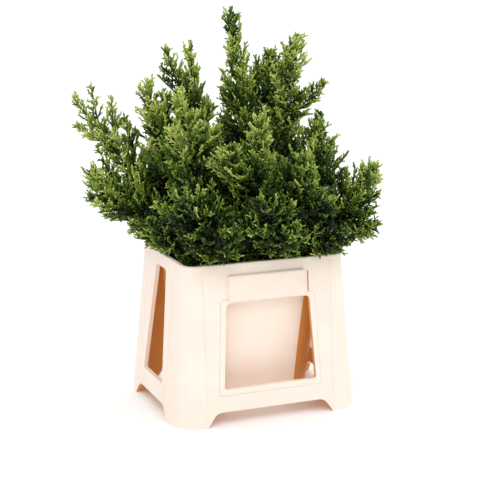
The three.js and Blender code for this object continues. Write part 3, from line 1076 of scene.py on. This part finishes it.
@dataclass
class Skeleton:
    """A bough's stem inside the bucket and its limbs above the mouth."""

    bough: Bough
    seat_gap: float = 0.3
    floor: float = 4.0
    base_share: float = 0.42
    base_radius: float = 6.4
    start_pull: float = 0.33
    end_pull: float = 0.3

    def __post_init__(self) -> None:
        """Works out the stem's foot and each limb's curve."""
        mouth = np.array(self.bough.mouth, dtype=float)
        slant = math.hypot(mouth[0], mouth[1]) * (1 - self.base_share) / mouth[2]
        foot_height = self.floor + self.seat_gap + self.base_radius * slant
        self.foot = np.array([mouth[0] * self.base_share, mouth[1] * self.base_share, foot_height])
        self.mouth = mouth
        heading = unit(mouth - self.foot)
        root = mouth + heading * self.seat_gap
        self.limbs: list[Limb] = []
        for fork in self.bough.forks:
            tip = np.array(fork.reach, dtype=float)
            start, away = root, heading
            if fork.leaves:
                start, away = self.limbs[0].points(fork.leaves), self.limbs[0].tangents(fork.leaves)
            length = float(np.linalg.norm(tip - start))
            ending = unit(unit(tip - start) + UP * fork.lift)
            bends = (start + away * length * self.start_pull, tip - ending * length * self.end_pull)
            self.limbs.append(Limb(np.stack((start, *bends, tip))))


@dataclass
class CrownSpace:
    """Shares the crown out among the boughs, and keeps them out of the bucket."""

    skeletons: Sequence[Skeleton]
    profile: Callable[[float], float]
    bucket: FloristBucket = field(default_factory=FloristBucket)
    steps: int = 12
    mouth_half: Pair = (153.0, 119.0)
    rim_room: float = 7.0
    rows_at_once: int = 6000

    def __post_init__(self) -> None:
        """Draws every limb as short straight runs."""
        middles = (np.arange(self.steps) + 0.5) / self.steps
        rows: list[tuple[np.ndarray, np.ndarray, int, float, float]] = []
        for owner, skeleton in enumerate(self.skeletons):
            for limb, fork in zip(skeleton.limbs, skeleton.bough.forks, strict=True):
                line = limb.points(np.linspace(0, 1, self.steps + 1))
                for start, end, middle in zip(line[:-1], line[1:], middles, strict=True):
                    full = fork.girth * self.profile(float(middle))
                    rows.append((start, end - start, owner, fork.girth / 2, full))
        columns = (np.array(column) for column in zip(*rows, strict=True))
        self.start, self.run, self.owner, self.girth, self.full = columns
        self.long = np.maximum((self.run**2).sum(axis=1), TINY)

    def room(self, points: np.ndarray, owner: int) -> tuple[np.ndarray, np.ndarray]:
        """How far inside its own bough's space each point is.

        Args:
            points: rows.
            owner: the bough's number.

        Returns:
            The lead over the nearest other bough, below zero outside, and how near that bough is,
            as a part of its girth there.
        """
        made = np.empty(len(points))
        near = np.empty(len(points))
        own = self.owner == owner
        for low in range(0, len(points), self.rows_at_once):
            chunk = slice(low, low + self.rows_at_once)
            part = points[chunk]
            offset = part[:, None, :] - self.start[None, :, :]
            share = np.clip((offset * self.run[None]).sum(axis=2) / self.long[None], 0, 1)
            away = np.linalg.norm(offset - share[:, :, None] * self.run[None], axis=2)
            reach = away - self.girth[None]
            made[chunk] = reach[:, ~own].min(axis=1) - reach[:, own].min(axis=1)
            near[chunk] = (away[:, ~own] / self.full[None, ~own]).min(axis=1)
        return made, near

    def clear_of_bucket(self, points: np.ndarray, away: float) -> np.ndarray:
        """Whether points stay a distance away from the bucket.

        Args:
            points: rows.
            away: the least distance.

        Returns:
            One truth value for each.
        """
        across, deep, tall = np.abs(points[:, 0]), np.abs(points[:, 1]), points[:, 2]
        bucket = self.bucket
        spread = bucket.flare * (bucket.height - tall) / bucket.height + self.rim_room
        above = tall - away > bucket.height
        beside = (across - away > bucket.rim_half[0] + spread) | (deep - away > bucket.rim_half[1] + spread)
        half_x, half_y = self.mouth_half
        mouth = (tall > IN_MOUTH) & (across + away < half_x) & (deep + away < half_y)
        return above | beside | mouth


@dataclass
class Shoots:
    """Many shoots of one kind, one row each, all curling up a little towards their tips."""

    start: np.ndarray
    direction: np.ndarray
    length: np.ndarray
    fan: np.ndarray
    tone: np.ndarray
    curl: float = 0.1

    def point(self, share: np.ndarray | float, rows: np.ndarray | slice = ALL) -> np.ndarray:
        """Places on chosen shoots.

        Args:
            share: how far along each.
            rows: which shoots.

        Returns:
            One row for each.
        """
        long = self.length[rows] * share
        bend = self.curl * self.length[rows] * np.asarray(share) ** 2
        return self.start[rows] + self.direction[rows] * long[:, None] + UP * bend[:, None]

    def tangent(self, share: np.ndarray, rows: np.ndarray) -> np.ndarray:
        """Directions on chosen shoots, each at its own share."""
        return unit(self.direction[rows] + UP * (2 * self.curl * share)[:, None])

    def kept(self, rows: np.ndarray) -> "Shoots":
        """The chosen shoots alone."""
        parts = (self.start, self.direction, self.length, self.fan, self.tone)
        return Shoots(*(part[rows] for part in parts), self.curl)


@dataclass(frozen=True)
class OuterPart:
    """The outer part of a shoot, as a shoot of its own: where it starts, its curl and its lightness."""

    first: float
    curl: float
    lighter: float
    overrun: float = 3.0

    def of(self, main: Shoots) -> Shoots:
        """Takes the outer part of each shoot.

        Args:
            main: the whole shoots.

        Returns:
            One shoot for each.
        """
        start = main.point(self.first)
        reach = main.point(1.0) - start
        length = np.linalg.norm(reach, axis=1) + self.overrun
        return Shoots(start, unit(reach), length, main.fan, main.tone + self.lighter, self.curl)


@dataclass(frozen=True)
class BranchRule:
    """How side shoots stand on a shoot: spacing, first and last place, lean, length, scatter and pull."""

    spacing: float
    first: float
    last: float
    lean: Pair
    part: float
    fade: float
    least: float
    most: float
    roll: float
    rise: float
    curl: float
    jitter: float = 0.5
    lean_scatter: float = 7.0
    shortest: float = 0.75
    length_scatter: float = 0.5
    twist: float = 0.35

    def grow(self, parents: Shoots, draw: np.random.Generator) -> tuple[Shoots, np.ndarray]:
        """Grows the side shoots of many shoots at once.

        Args:
            parents: the shoots that carry them.
            draw: the bough's seeded numbers.

        Returns:
            The new shoots, and each one's share along its parent.
        """
        count = np.maximum(np.rint(parents.length * (self.last - self.first) / self.spacing), 1).astype(int)
        parent = np.repeat(np.arange(len(count)), count)
        order = np.arange(len(parent)) - np.repeat(np.cumsum(count) - count, count)
        scatter = self.jitter * (draw.random(len(parent)) - 0.5)
        share = self.first + (self.last - self.first) * (order + 0.5 + scatter) / count[parent]
        flip = draw.integers(0, 2, len(count))
        hand = np.where((order + flip[parent]) % 2 == 0, 1.0, -1.0)
        tangent = parents.tangent(share, parent)
        fan = parents.fan[parent]
        across = unit(np.cross(fan, tangent))
        roll = np.radians(self.roll) * draw.normal(size=len(parent))
        sideways = across * (hand * np.cos(roll))[:, None] + fan * np.sin(roll)[:, None]
        lean = mix(*self.lean, share)
        lean = np.radians(lean + self.lean_scatter * draw.normal(size=len(parent)))
        outward = tangent * np.cos(lean)[:, None] + sideways * np.sin(lean)[:, None]
        direction = unit(outward + UP * self.rise)
        reach = self.part * parents.length[parent] * (1 - share) ** self.fade + self.least
        length = reach * (self.shortest + self.length_scatter * draw.random(len(parent)))
        length = np.minimum(length, self.most)
        twist = self.twist * draw.normal(size=direction.shape)
        normal = unit(np.cross(direction, np.cross(fan, direction) + twist))
        start = parents.point(share, parent)
        return Shoots(start, direction, length, normal, parents.tone[parent], self.curl), share


@dataclass(frozen=True)
class CordShape:
    """Outline of one cord of scale leaves: share along it and part of its full width at each ring."""

    rings: Table
    radius: float
    flat: float = 0.8
    sides: int = 3
    thinnest: float = 0.82
    girth_scatter: float = 0.36

    def mesh(self, shoots: Shoots, draw: np.random.Generator) -> tuple[np.ndarray, np.ndarray]:
        """Draws every shoot as a closed, blunt cord.

        Args:
            shoots: the shoots to draw.
            draw: the bough's seeded numbers.

        Returns:
            Corners in millimetres, and triangles.
        """
        count = len(shoots.length)
        across, over = frames_across(shoots.direction)
        phase = draw.random(count) * 2 * math.pi
        size = self.radius * (self.thinnest + self.girth_scatter * draw.random(count))
        rows: list[np.ndarray] = []
        for share, width in self.rings:
            centre = shoots.point(share)
            for step in range(self.sides):
                turn = phase + 2 * math.pi * step / self.sides
                wide, tall = np.cos(turn) * size * width, np.sin(turn) * size * width * self.flat
                rows.append(centre + across * wide[:, None] + over * tall[:, None])
        rows.append(shoots.point(1.0))
        points = np.stack(rows, axis=1)
        first = np.arange(count) * points.shape[1]
        triangles = np.array(self.faces())[None] + first[:, None, None]
        return points.reshape(-1, 3), triangles.reshape(-1, 3)

    def faces(self) -> list[tuple[int, int, int]]:
        """Lists the triangles of one cord, facing outwards.

        Returns:
            The numbers of each triangle's corners.
        """
        sides = self.sides
        made = [(0, side + 2, side + 1) for side in range(sides - 2)]
        for ring in range(len(self.rings) - 1):
            for side in range(sides):
                low, next_low = ring * sides + side, ring * sides + (side + 1) % sides
                made.append((low, next_low, next_low + sides))
                made.append((low, next_low + sides, low + sides))
        last = (len(self.rings) - 1) * sides
        tip = len(self.rings) * sides
        made.extend((last + side, last + (side + 1) % sides, tip) for side in range(sides))
        return made


class Tone(Enum):
    """Colours that whole sprays take, darkest to lightest, by a lightness that holds painted shade and
    painted light as well as yellowness and chance.
    """

    DEEP = 0
    SHADE = 1
    MID = 2
    FRESH = 3
    LIME = 4


@dataclass(frozen=True)
class SprayTones:
    """How light each shoot is, by height (painted light and shade), painted sunlight, place on the shoot
    and chance, and the tone that it takes for it.
    """

    # Painted light and shade by height: lighter just over the rim, darkest a little above it, lighter again
    # towards the top
    by_height: Table = ((314.0, 0.14), (350.0, -0.19), (430.0, -0.13), (560.0, 0.06), (700.0, 0.22))
    look_ahead: float = 50.0
    scatter: float = 0.3
    # Painted sunlight: a share of main shoots made lighter, the more so higher up
    sunlit: float = 0.4
    sunlit_part: float = 0.16
    sun_by_height: Table = ((360.0, 0.25), (470.0, 1.0))
    bright_over: Table = ((0.3, 0.0), (0.62, 1.0))
    tip: float = 0.1
    side: float = -0.08
    side_by_share: float = 0.6
    side_scatter: float = 0.06
    cord_by_share: float = 0.14
    darkest: float = -0.1
    step: float = 0.22

    def of_main(
        self, start: np.ndarray, way: np.ndarray, fork: Fork, share: float, number: NumberRule
    ) -> float:
        """Works out how light a main shoot is, apart from its bough's own yellowness.

        Args:
            start: where it leaves its limb.
            way: its direction.
            fork: its limb.
            share: how far along the limb it stands.
            number: the bough's seeded numbers.

        Returns:
            Its lightness.
        """
        chance = self.scatter * (2 * number() - 1)
        # sun is painted sunlight; the height table adds painted light and shade
        sun = self.sunlit * along(self.sun_by_height, start[2]) if number() < self.sunlit_part else 0
        bright = fork.bright * along(self.bright_over, share)
        return chance + sun + bright + along(self.by_height, (start + way * self.look_ahead)[2])

    def of_tip(self, tip: np.ndarray, fork: Fork) -> float:
        """How light a limb's last shoot is."""
        return fork.bright + self.tip + along(self.by_height, tip[2])

    def steps(self, lightness: np.ndarray) -> np.ndarray:
        """The number of the tone that each lightness takes."""
        step = np.floor((lightness - self.darkest) / self.step)
        return np.clip(step, 0, len(Tone) - 1).astype(int)


@dataclass
class Heap:
    """Meshes of one kind, waiting to be joined into pieces."""

    points: list[np.ndarray] = field(default_factory=list)
    triangles: list[np.ndarray] = field(default_factory=list)
    corners: int = 0
    faces: int = 0
    nodes: list[str] = field(default_factory=list)

    def add(self, points: np.ndarray, triangles: np.ndarray, node: str) -> None:
        """Adds one mesh.

        Args:
            points: its corners.
            triangles: its triangles.
            node: the solid that it stands for.
        """
        self.points.append(points)
        self.triangles.append(triangles + self.corners)
        self.corners += len(points)
        self.faces += len(triangles)
        if node not in self.nodes:
            self.nodes.append(node)


@dataclass
class Cypress:
    """The crown: stems in the bucket, limbs, twigs and sprays of cords, grown bough by bough."""

    # Shoots on a limb, for each spray on its solid
    finer: float = 4.15
    # The collar at a limb's root: how many shoots, their places, lean in degrees and length
    collar: int = 24
    collar_share: Pair = (0.004, 0.075)
    collar_lean: Pair = (48.0, 104.0)
    collar_long: Pair = (0.55, 0.9)
    # Where the other shoots stand, how they lean, turn and roll, and how long they are
    girth_profile: Table = ((0.0, 0.8), (0.15, 1.0), (0.45, 0.93), (0.65, 0.58), (0.82, 0.34), (1.0, 0.17))
    spray_span: Pair = (0.02, 0.97)
    tip_from: float = 0.9
    crowding: float = 1.16
    lean_profile: Table = ((0.0, 92.0), (0.08, 74.0), (0.2, 57.0), (0.35, 44.0), (1.0, 26.0))
    lean_scatter: float = 13.0
    turn_scatter: float = 0.7
    stretch: Pair = (0.74, 1.14)
    spray_part: float = 0.86
    steepest: float = 0.62
    fan_roll: float = 50.0
    main_curl: float = 0.12
    # How far a shoot may grow on into a gap, how near the next bough has to be, and how far up the limb
    fill: float = 1.3
    fill_near: float = 0.95
    fill_last: float = 0.6
    first_mark: float = 0.15
    marks: int = 20
    least_shoot: float = 4.5
    # A tip with too few tips or shoots near it is shortened
    company_mm: float = 36.0
    company_at: tuple[float, ...] = (0.5, 0.75, 1.0)
    company: int = 2
    lone_part: float = 0.6
    # How far each kind of shoot may lean over its bough's bounds, and stays off the bucket
    main_slack: float = -9.0
    side_slack: float = -16.0
    cord_slack: float = -20.0
    main_away: float = 4.0
    tips_away: float = 2.5
    box_room: float = 5.0
    heart_height: float = 300.0
    # The bare wood
    stem_rows: int = 34
    stem_radii: Pair = (6.4, 4.8)
    bark_sides: int = 10
    limb_rows: int = 40
    limb_radii: Triple = (4.7, 3.4, 1.0)
    limb_until: float = 0.97
    strip_relief: Pair = (0.1, 0.05)
    # Seeds, the size of a joined piece, the colours, and the rules and shapes of the small shoots
    spray_seed: int = 7000
    bark_seed: int = 9000
    most_faces: int = 190_000
    tones: SprayTones = SprayTones()
    bark: CypressBark = CypressBark()
    green_bark: CypressScale = CypressScale("green_twig", "#47512a", "#66703a")
    side_rule: BranchRule = BranchRule(6.2, 0.06, 0.97, (42, 28), 0.26, 0.6, 8.0, 30.0, 15.0, 0.1, 0.1)
    cord_rule: BranchRule = BranchRule(4.9, 0.14, 0.94, (38, 30), 0.24, 0.7, 6.2, 13.5, 18.0, 0.08, 0.06)
    outer_stalk: OuterPart = OuterPart(0.22, 0.05, 0.2)
    outer_tip: OuterPart = OuterPart(0.82, 0.02, 0.38)
    side_cord: CordShape = CordShape(((0.0, 0.7), (0.5, 0.85), (0.9, 1.0)), 1.8)
    tip_cord: CordShape = CordShape(((0.0, 0.8), (0.75, 1.0)), 2.0)
    stalk: CordShape = CordShape(((0.0, 0.8), (0.35, 1.0), (0.7, 1.0), (0.95, 0.9)), 1.9)
    twig: CordShape = CordShape(((0.0, 1.3), (0.33, 1.1), (0.66, 0.9), (0.92, 0.7)), 1.2)

    def __post_init__(self) -> None:
        """Lays out the limbs, and starts the heaps."""
        self.skeletons = [Skeleton(bough) for bough in BOUGHS]
        self.space = CrownSpace(self.skeletons, self.profile)
        self.heaps = {tone: [Heap()] for tone in Tone}
        self.twigs = [Heap()]
        self.wood = Heap()
        low, high = CAD_BOX
        self.low = np.array(low) / MM - self.box_room
        self.high = np.array(high) / MM + self.box_room
        self.heart = UP * self.heart_height

    def profile(self, share: float) -> float:
        """Part of its full girth that a limb's foliage has at a share along it."""
        return along(self.girth_profile, share)

    def fits(
        self, points: np.ndarray, owner: int, slack: float, away: float, nearest: float = math.inf
    ) -> np.ndarray:
        """Whether points stay in a bough's own space, in the crown's box and off the bucket.

        Args:
            points: rows.
            owner: the bough's number.
            slack: the least lead over another bough.
            away: the least distance from the bucket.
            nearest: how near another bough has to be, as a part of its girth.

        Returns:
            One truth value for each.
        """
        boxed = ((points > self.low) & (points < self.high)).all(axis=1)
        lead, near = self.space.room(points, owner)
        return boxed & self.space.clear_of_bucket(points, away) & (lead > slack) & (near < nearest)

    def main_shoots(self, owner: int) -> Shoots:
        """Grows a bough's main shoots by the rule that its solid follows, only closer together.

        Args:
            owner: the bough's number.

        Returns:
            The shoots, each cut where it would leave the bough's space.
        """
        skeleton = self.skeletons[owner]
        yellow = skeleton.bough.yellow
        number = seeded(skeleton.bough.seed)
        rows: list[tuple[np.ndarray, np.ndarray, float, np.ndarray, float, float]] = []
        for limb, fork in zip(skeleton.limbs, skeleton.bough.forks, strict=True):
            turn = number() * 2 * math.pi
            total = int(fork.sprays * self.finer)
            for index in range(0 if fork.leaves else -self.collar, total):
                turn += GOLDEN_ANGLE + self.turn_scatter * (2 * number() - 1)
                share, lean, stretch = self.posture(index, total, number)
                start, tangent = limb.points(share), limb.tangents(share)
                across, over = frames_across(tangent)
                radial = across * math.cos(turn) + over * math.sin(turn)
                way = tangent * math.cos(lean) + radial * math.sin(lean)
                steep = max(math.sin(lean), self.steepest)
                length = fork.girth * self.profile(share) * stretch * self.spray_part / steep
                fan = self.fan_of(start + way * fork.girth, way, number)
                tone = yellow + self.tones.of_main(start, way, fork, share, number)
                rows.append((start, way, length, fan, tone, share))
            start, tip = limb.points(self.tip_from), limb.points(1.0)
            way, length = unit(tip - start), float(np.linalg.norm(tip - start))
            tone = yellow + self.tones.of_tip(tip, fork)
            rows.append((start, way, length, frames_across(way)[0], tone, 1.0))
        *columns, places = (np.array(column) for column in zip(*rows, strict=True))
        made = Shoots(*columns, self.main_curl)
        return self.tamed(self.cut_to_space(made, owner, places))

    def posture(self, index: int, total: int, number: NumberRule) -> Triple:
        """Draws where a main shoot stands on its limb, and how.

        Args:
            index: its number on the limb, below zero in the collar at the limb's root.
            total: how many stand above the collar.
            number: the bough's seeded numbers.

        Returns:
            Its share along the limb, its lean in radians and how long it is for its place.
        """
        if index < 0:
            spans = (self.collar_share, self.collar_lean, self.collar_long)
            share, lean, stretch = (mix(*span, number()) for span in spans)
        else:
            share = mix(*self.spray_span, ((index + 0.5) / total) ** self.crowding)
            lean = along(self.lean_profile, share) + self.lean_scatter * (2 * number() - 1)
            stretch = mix(*self.stretch, number())
        return share, math.radians(lean), stretch

    def fan_of(self, tip: np.ndarray, way: np.ndarray, number: NumberRule) -> np.ndarray:
        """Draws how a main shoot's fan faces: outwards from the crown's heart, with some roll.

        Args:
            tip: about where the shoot ends.
            way: its direction.
            number: the bough's seeded numbers.

        Returns:
            The direction that its fan faces.
        """
        side = unit(np.cross(np.cross(way, tip - self.heart), way))
        roll = math.radians(self.fan_roll) * (2 * number() - 1)
        return side * math.cos(roll) + np.cross(way, side) * math.sin(roll)

    def cut_to_space(self, shoots: Shoots, owner: int, places: np.ndarray) -> Shoots:
        """Shortens each shoot to where it would leave its bough's space, or lengthens it into a gap.

        Args:
            shoots: the full shoots.
            owner: the bough's number.
            places: each shoot's share along its limb.

        Returns:
            Those that keep a useful length.
        """
        marks = np.linspace(self.first_mark, self.fill, self.marks)
        rows = []
        for mark in marks:
            nearest = math.inf if mark <= 1 else self.fill_near
            rows.append(self.fits(shoots.point(mark), owner, self.main_slack, self.main_away, nearest))
        inside = np.stack(rows) & ((marks[:, None] <= 1) | (places[None] < self.fill_last))
        good = np.logical_and.accumulate(inside, axis=0).sum(axis=0)
        part = np.where(good > 0, marks[np.maximum(good - 1, 0)], 0.0)
        shoots.length = shoots.length * part
        return shoots.kept(shoots.length > self.least_shoot)

    def tamed(self, shoots: Shoots) -> Shoots:
        """Shortens each shoot whose tip would stand alone, away from the rest of its bough.

        Args:
            shoots: the bough's main shoots.

        Returns:
            The same shoots.
        """
        tips = shoots.point(1.0)
        beside = np.zeros((len(tips), len(tips)), dtype=bool)
        for share in self.company_at:
            away = np.linalg.norm(tips[:, None] - shoots.point(share)[None], axis=2)
            beside |= away < self.company_mm
        lone = beside.sum(axis=1) - 1 < self.company
        shoots.length = np.where(lone, shoots.length * self.lone_part, shoots.length)
        return shoots

    def grow_bough(self, owner: int) -> None:
        """Grows one bough's sprays and deals them out by tone.

        Args:
            owner: the bough's number.
        """
        bough = BOUGHS[owner]
        draw = np.random.default_rng(self.spray_seed + bough.seed)
        node = f"foliage_{bough.name}"
        main = self.main_shoots(owner)
        sides, share = self.side_rule.grow(main, draw)
        chance = self.tones.side_scatter * draw.normal(size=len(share))
        sides.tone = sides.tone + self.tones.side + self.tones.side_by_share * share + chance
        sides = sides.kept(self.fits(sides.point(1.0), owner, self.side_slack, self.tips_away))
        cords, share = self.cord_rule.grow(sides, draw)
        cords.tone = cords.tone + self.tones.cord_by_share * share
        cords = cords.kept(self.fits(cords.point(1.0), owner, self.cord_slack, self.tips_away))
        self.put(self.twigs, self.twig.mesh(main, draw), node)
        kinds = (
            (self.outer_stalk.of(main), self.stalk),
            (sides, self.side_cord),
            (cords, self.tip_cord),
            (self.outer_tip.of(main), self.tip_cord),
        )
        for shoots, shape in kinds:
            step = self.tones.steps(shoots.tone)
            for tone in Tone:
                rows = np.nonzero(step == tone.value)[0]
                if len(rows):
                    self.put(self.heaps[tone], shape.mesh(shoots.kept(rows), draw), node)

    def put(self, heaps: list[Heap], mesh: tuple[np.ndarray, np.ndarray], node: str) -> None:
        """Adds a mesh to the last heap of its kind, or starts another when that is full.

        Args:
            heaps: the kind's heaps.
            mesh: corners and triangles.
            node: the solid that it stands for.
        """
        if heaps[-1].faces + len(mesh[1]) > self.most_faces:
            heaps.append(Heap())
        heaps[-1].add(*mesh, node)

    def bark_tube(
        self, line: np.ndarray, radii: np.ndarray, draw: np.random.Generator
    ) -> tuple[np.ndarray, np.ndarray]:
        """Draws a limb whose bark stands out in strips along it.

        Args:
            line: the limb's middle, row by row.
            radii: its radius at each row.
            draw: the bough's seeded numbers.

        Returns:
            Corners in millimetres, and triangles.
        """
        way = unit(np.gradient(line, axis=0))
        across, over = frames_across(way)
        for row in range(1, len(way)):
            if np.dot(across[row], across[row - 1]) < 0:
                across[row], over[row] = -across[row], -over[row]
        sides = self.bark_sides
        turns = np.linspace(0, 2 * math.pi, sides, endpoint=False)
        whole, local = self.strip_relief
        strips = whole * draw.normal(size=sides)[None, :] + local * draw.normal(size=(len(line), sides))
        size = (radii[:, None] * (1 + strips))[:, :, None]
        wide, tall = np.cos(turns)[None, :, None] * size, np.sin(turns)[None, :, None] * size
        rings = line[:, None] + across[:, None] * wide + over[:, None] * tall
        points = np.concatenate([rings.reshape(-1, 3), line[:1], line[-1:]])
        foot, tip = len(points) - 2, len(points) - 1
        last = (len(line) - 1) * sides
        faces: list[tuple[int, int, int]] = []
        for side in range(sides):
            after = (side + 1) % sides
            faces.append((foot, after, side))
            faces.append((tip, last + side, last + after))
            for low in range(0, last, sides):
                high = low + sides
                faces.append((low + side, low + after, high + after))
                faces.append((low + side, high + after, high + side))
        return points, np.array(faces)

    def grow_wood(self, owner: int) -> None:
        """Draws a bough's stem and limbs.

        Args:
            owner: the bough's number.
        """
        skeleton = self.skeletons[owner]
        draw = np.random.default_rng(self.bark_seed + skeleton.bough.seed)
        node = f"stem_{skeleton.bough.name}"
        rows = np.linspace(0, 1, self.stem_rows)[:, None]
        stem = skeleton.foot + (skeleton.mouth - skeleton.foot) * rows
        self.wood.add(*self.bark_tube(stem, np.linspace(*self.stem_radii, self.stem_rows), draw), node)
        shares = np.linspace(0, self.limb_until, self.limb_rows)
        first, later, tip = self.limb_radii
        for number, limb in enumerate(skeleton.limbs):
            radii = np.linspace(later if number else first, tip, self.limb_rows)
            self.wood.add(*self.bark_tube(limb.points(shares), radii, draw), node)

    def build(self, greens: dict[Tone, CypressScale]) -> None:
        """Grows every bough and makes the joined pieces.

        Args:
            greens: the finish of each tone.
        """
        for owner in range(len(BOUGHS)):
            self.grow_wood(owner)
            self.grow_bough(owner)
        self.join("stems_and_limbs", self.wood, "bark", self.bark.material())
        for number, heap in enumerate(self.twigs, 1):
            self.join(f"twigs_{number}", heap, "foliage", self.green_bark.material())
        for tone, heaps in self.heaps.items():
            material = greens[tone].material()
            for number, heap in enumerate(heaps, 1):
                self.join(f"sprays_{tone.name.lower()}_{number}", heap, "foliage", material)

    @staticmethod
    def join(name: str, heap: Heap, slot: str, material: Material) -> None:
        """Makes one piece of a heap, unless it is empty.

        Args:
            name: the piece's name.
            heap: the meshes.
            slot: not used.
            material: its finish.
        """
        if heap.faces:
            piece = joined(name, np.concatenate(heap.points), np.concatenate(heap.triangles))
            declare(piece, material, heap.nodes)


# The studio


@dataclass(frozen=True)
class Lamp:
    """One soft round light: where it hangs and how wide it is, in metres, and its watts."""

    name: str
    place: Triple
    size: float
    watts: float


@dataclass
class Studio:
    """White paper floor, soft lights, and a camera at the photograph's angle."""

    azimuth: float = -22.0
    elevation: float = 13.2
    distance_mm: float = 2600.0
    target_mm: Triple = (0.0, 0.0, 292.0)
    focal_pixels: float = 1303.0
    image_pixels: float = 500.0
    middle_pixels: Pair = (241.0, 255.0)
    sensor_mm: float = 36.0
    floor_half_m: float = 110.0
    floor_squares: int = 8
    low_light: float = 0.55
    high_light: float = 1.45
    sight_m: float = 400.0
    aim_m: Triple = (0.0, 0.0, 0.35)
    lamps: tuple[Lamp, ...] = (
        Lamp("key", (-1.1, -2.5, 2.3), 1.1, 17),
        Lamp("fill", (2.4, -1.6, 1.6), 1.8, 6),
    )

    def camera(self) -> None:
        """Places the camera."""
        turn, tilt = math.radians(self.azimuth), math.radians(self.elevation)
        level = math.cos(tilt)
        back = Vector((math.sin(turn) * level, -math.cos(turn) * level, math.sin(tilt)))
        lens = bpy.data.cameras.new("camera")
        lens.sensor_width = self.sensor_mm
        lens.lens = self.focal_pixels / self.image_pixels * lens.sensor_width
        half = self.image_pixels / 2
        lens.shift_x = (half - self.middle_pixels[0]) / self.image_pixels
        lens.shift_y = (self.middle_pixels[1] - half) / self.image_pixels
        lens.clip_end = self.sight_m
        holder = bpy.data.objects.new("camera", lens)
        holder.location = Vector(self.target_mm) * MM + back * self.distance_mm * MM
        holder.rotation_euler = back.to_track_quat("Z", "Y").to_euler()
        bpy.context.scene.collection.objects.link(holder)
        bpy.context.scene.camera = holder

    def floor(self) -> None:
        """Lays the paper floor."""
        shape = bmesh.new()
        squares = self.floor_squares
        bmesh.ops.create_grid(shape, x_segments=squares, y_segments=squares, size=self.floor_half_m / MM)
        made = piece_from(shape, "paper_floor")
        made.data.materials.append(StudioPaper().material())

    def hang(self, lamp: Lamp) -> None:
        """Hangs one soft light aimed at the crown.

        Args:
            lamp: the light.
        """
        light = bpy.data.lights.new(lamp.name, "AREA")
        light.shape = "DISK"
        light.size = lamp.size
        light.energy = lamp.watts
        holder = bpy.data.objects.new(lamp.name, light)
        holder.location = lamp.place
        back = Vector(lamp.place) - Vector(self.aim_m)
        holder.rotation_euler = back.to_track_quat("Z", "Y").to_euler()
        bpy.context.scene.collection.objects.link(holder)

    def build(self) -> None:
        """Sets the whole studio up."""
        self.camera()
        self.floor()
        for lamp in self.lamps:
            self.hang(lamp)
        world = bpy.data.worlds.new("soft_white")
        world.use_nodes = True
        tree = world.node_tree
        place = add_node(tree, "TexCoord").outputs["Generated"]
        height = add_node(tree, "SeparateXYZ", {"Vector": place}).outputs["Z"]
        span = {"From Min": 0.0, "From Max": 1.0, "To Min": self.low_light, "To Max": self.high_light}
        sky = add_node(tree, "MapRange", {"Value": height, **span})
        background = tree.nodes["Background"]
        background.inputs["Color"].default_value = (1, 1, 1, 1)
        tree.links.new(sky.outputs["Result"], background.inputs["Strength"])
        scene = bpy.context.scene
        scene.world = world
        scene.view_settings.view_transform = "Standard"


# Dark tones carry painted shade and light tones painted light, besides the sprays' own yellow-green
GREENS = {
    Tone.DEEP: CypressScale("scale_leaf_deep", "#0f1906", "#19270b"),
    Tone.SHADE: CypressScale("scale_leaf_shade", "#293e10", "#395316"),
    Tone.MID: CypressScale("scale_leaf_mid", "#526e1f", "#698829", shine=0.38),
    Tone.FRESH: CypressScale("scale_leaf_fresh", "#849c36", "#9eb648", shine=0.45),
    Tone.LIME: CypressScale("scale_leaf_lime", "#b0bf54", "#cad673", shine=0.45),
}


def main() -> None:
    """Builds the studio, the bucket and the plant."""
    logging.basicConfig(level=logging.INFO, format="%(name)s %(message)s")
    Studio().build()
    FloristBucket().build()
    Cypress().build(GREENS)
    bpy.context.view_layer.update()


if __name__ == "__main__":
    main()
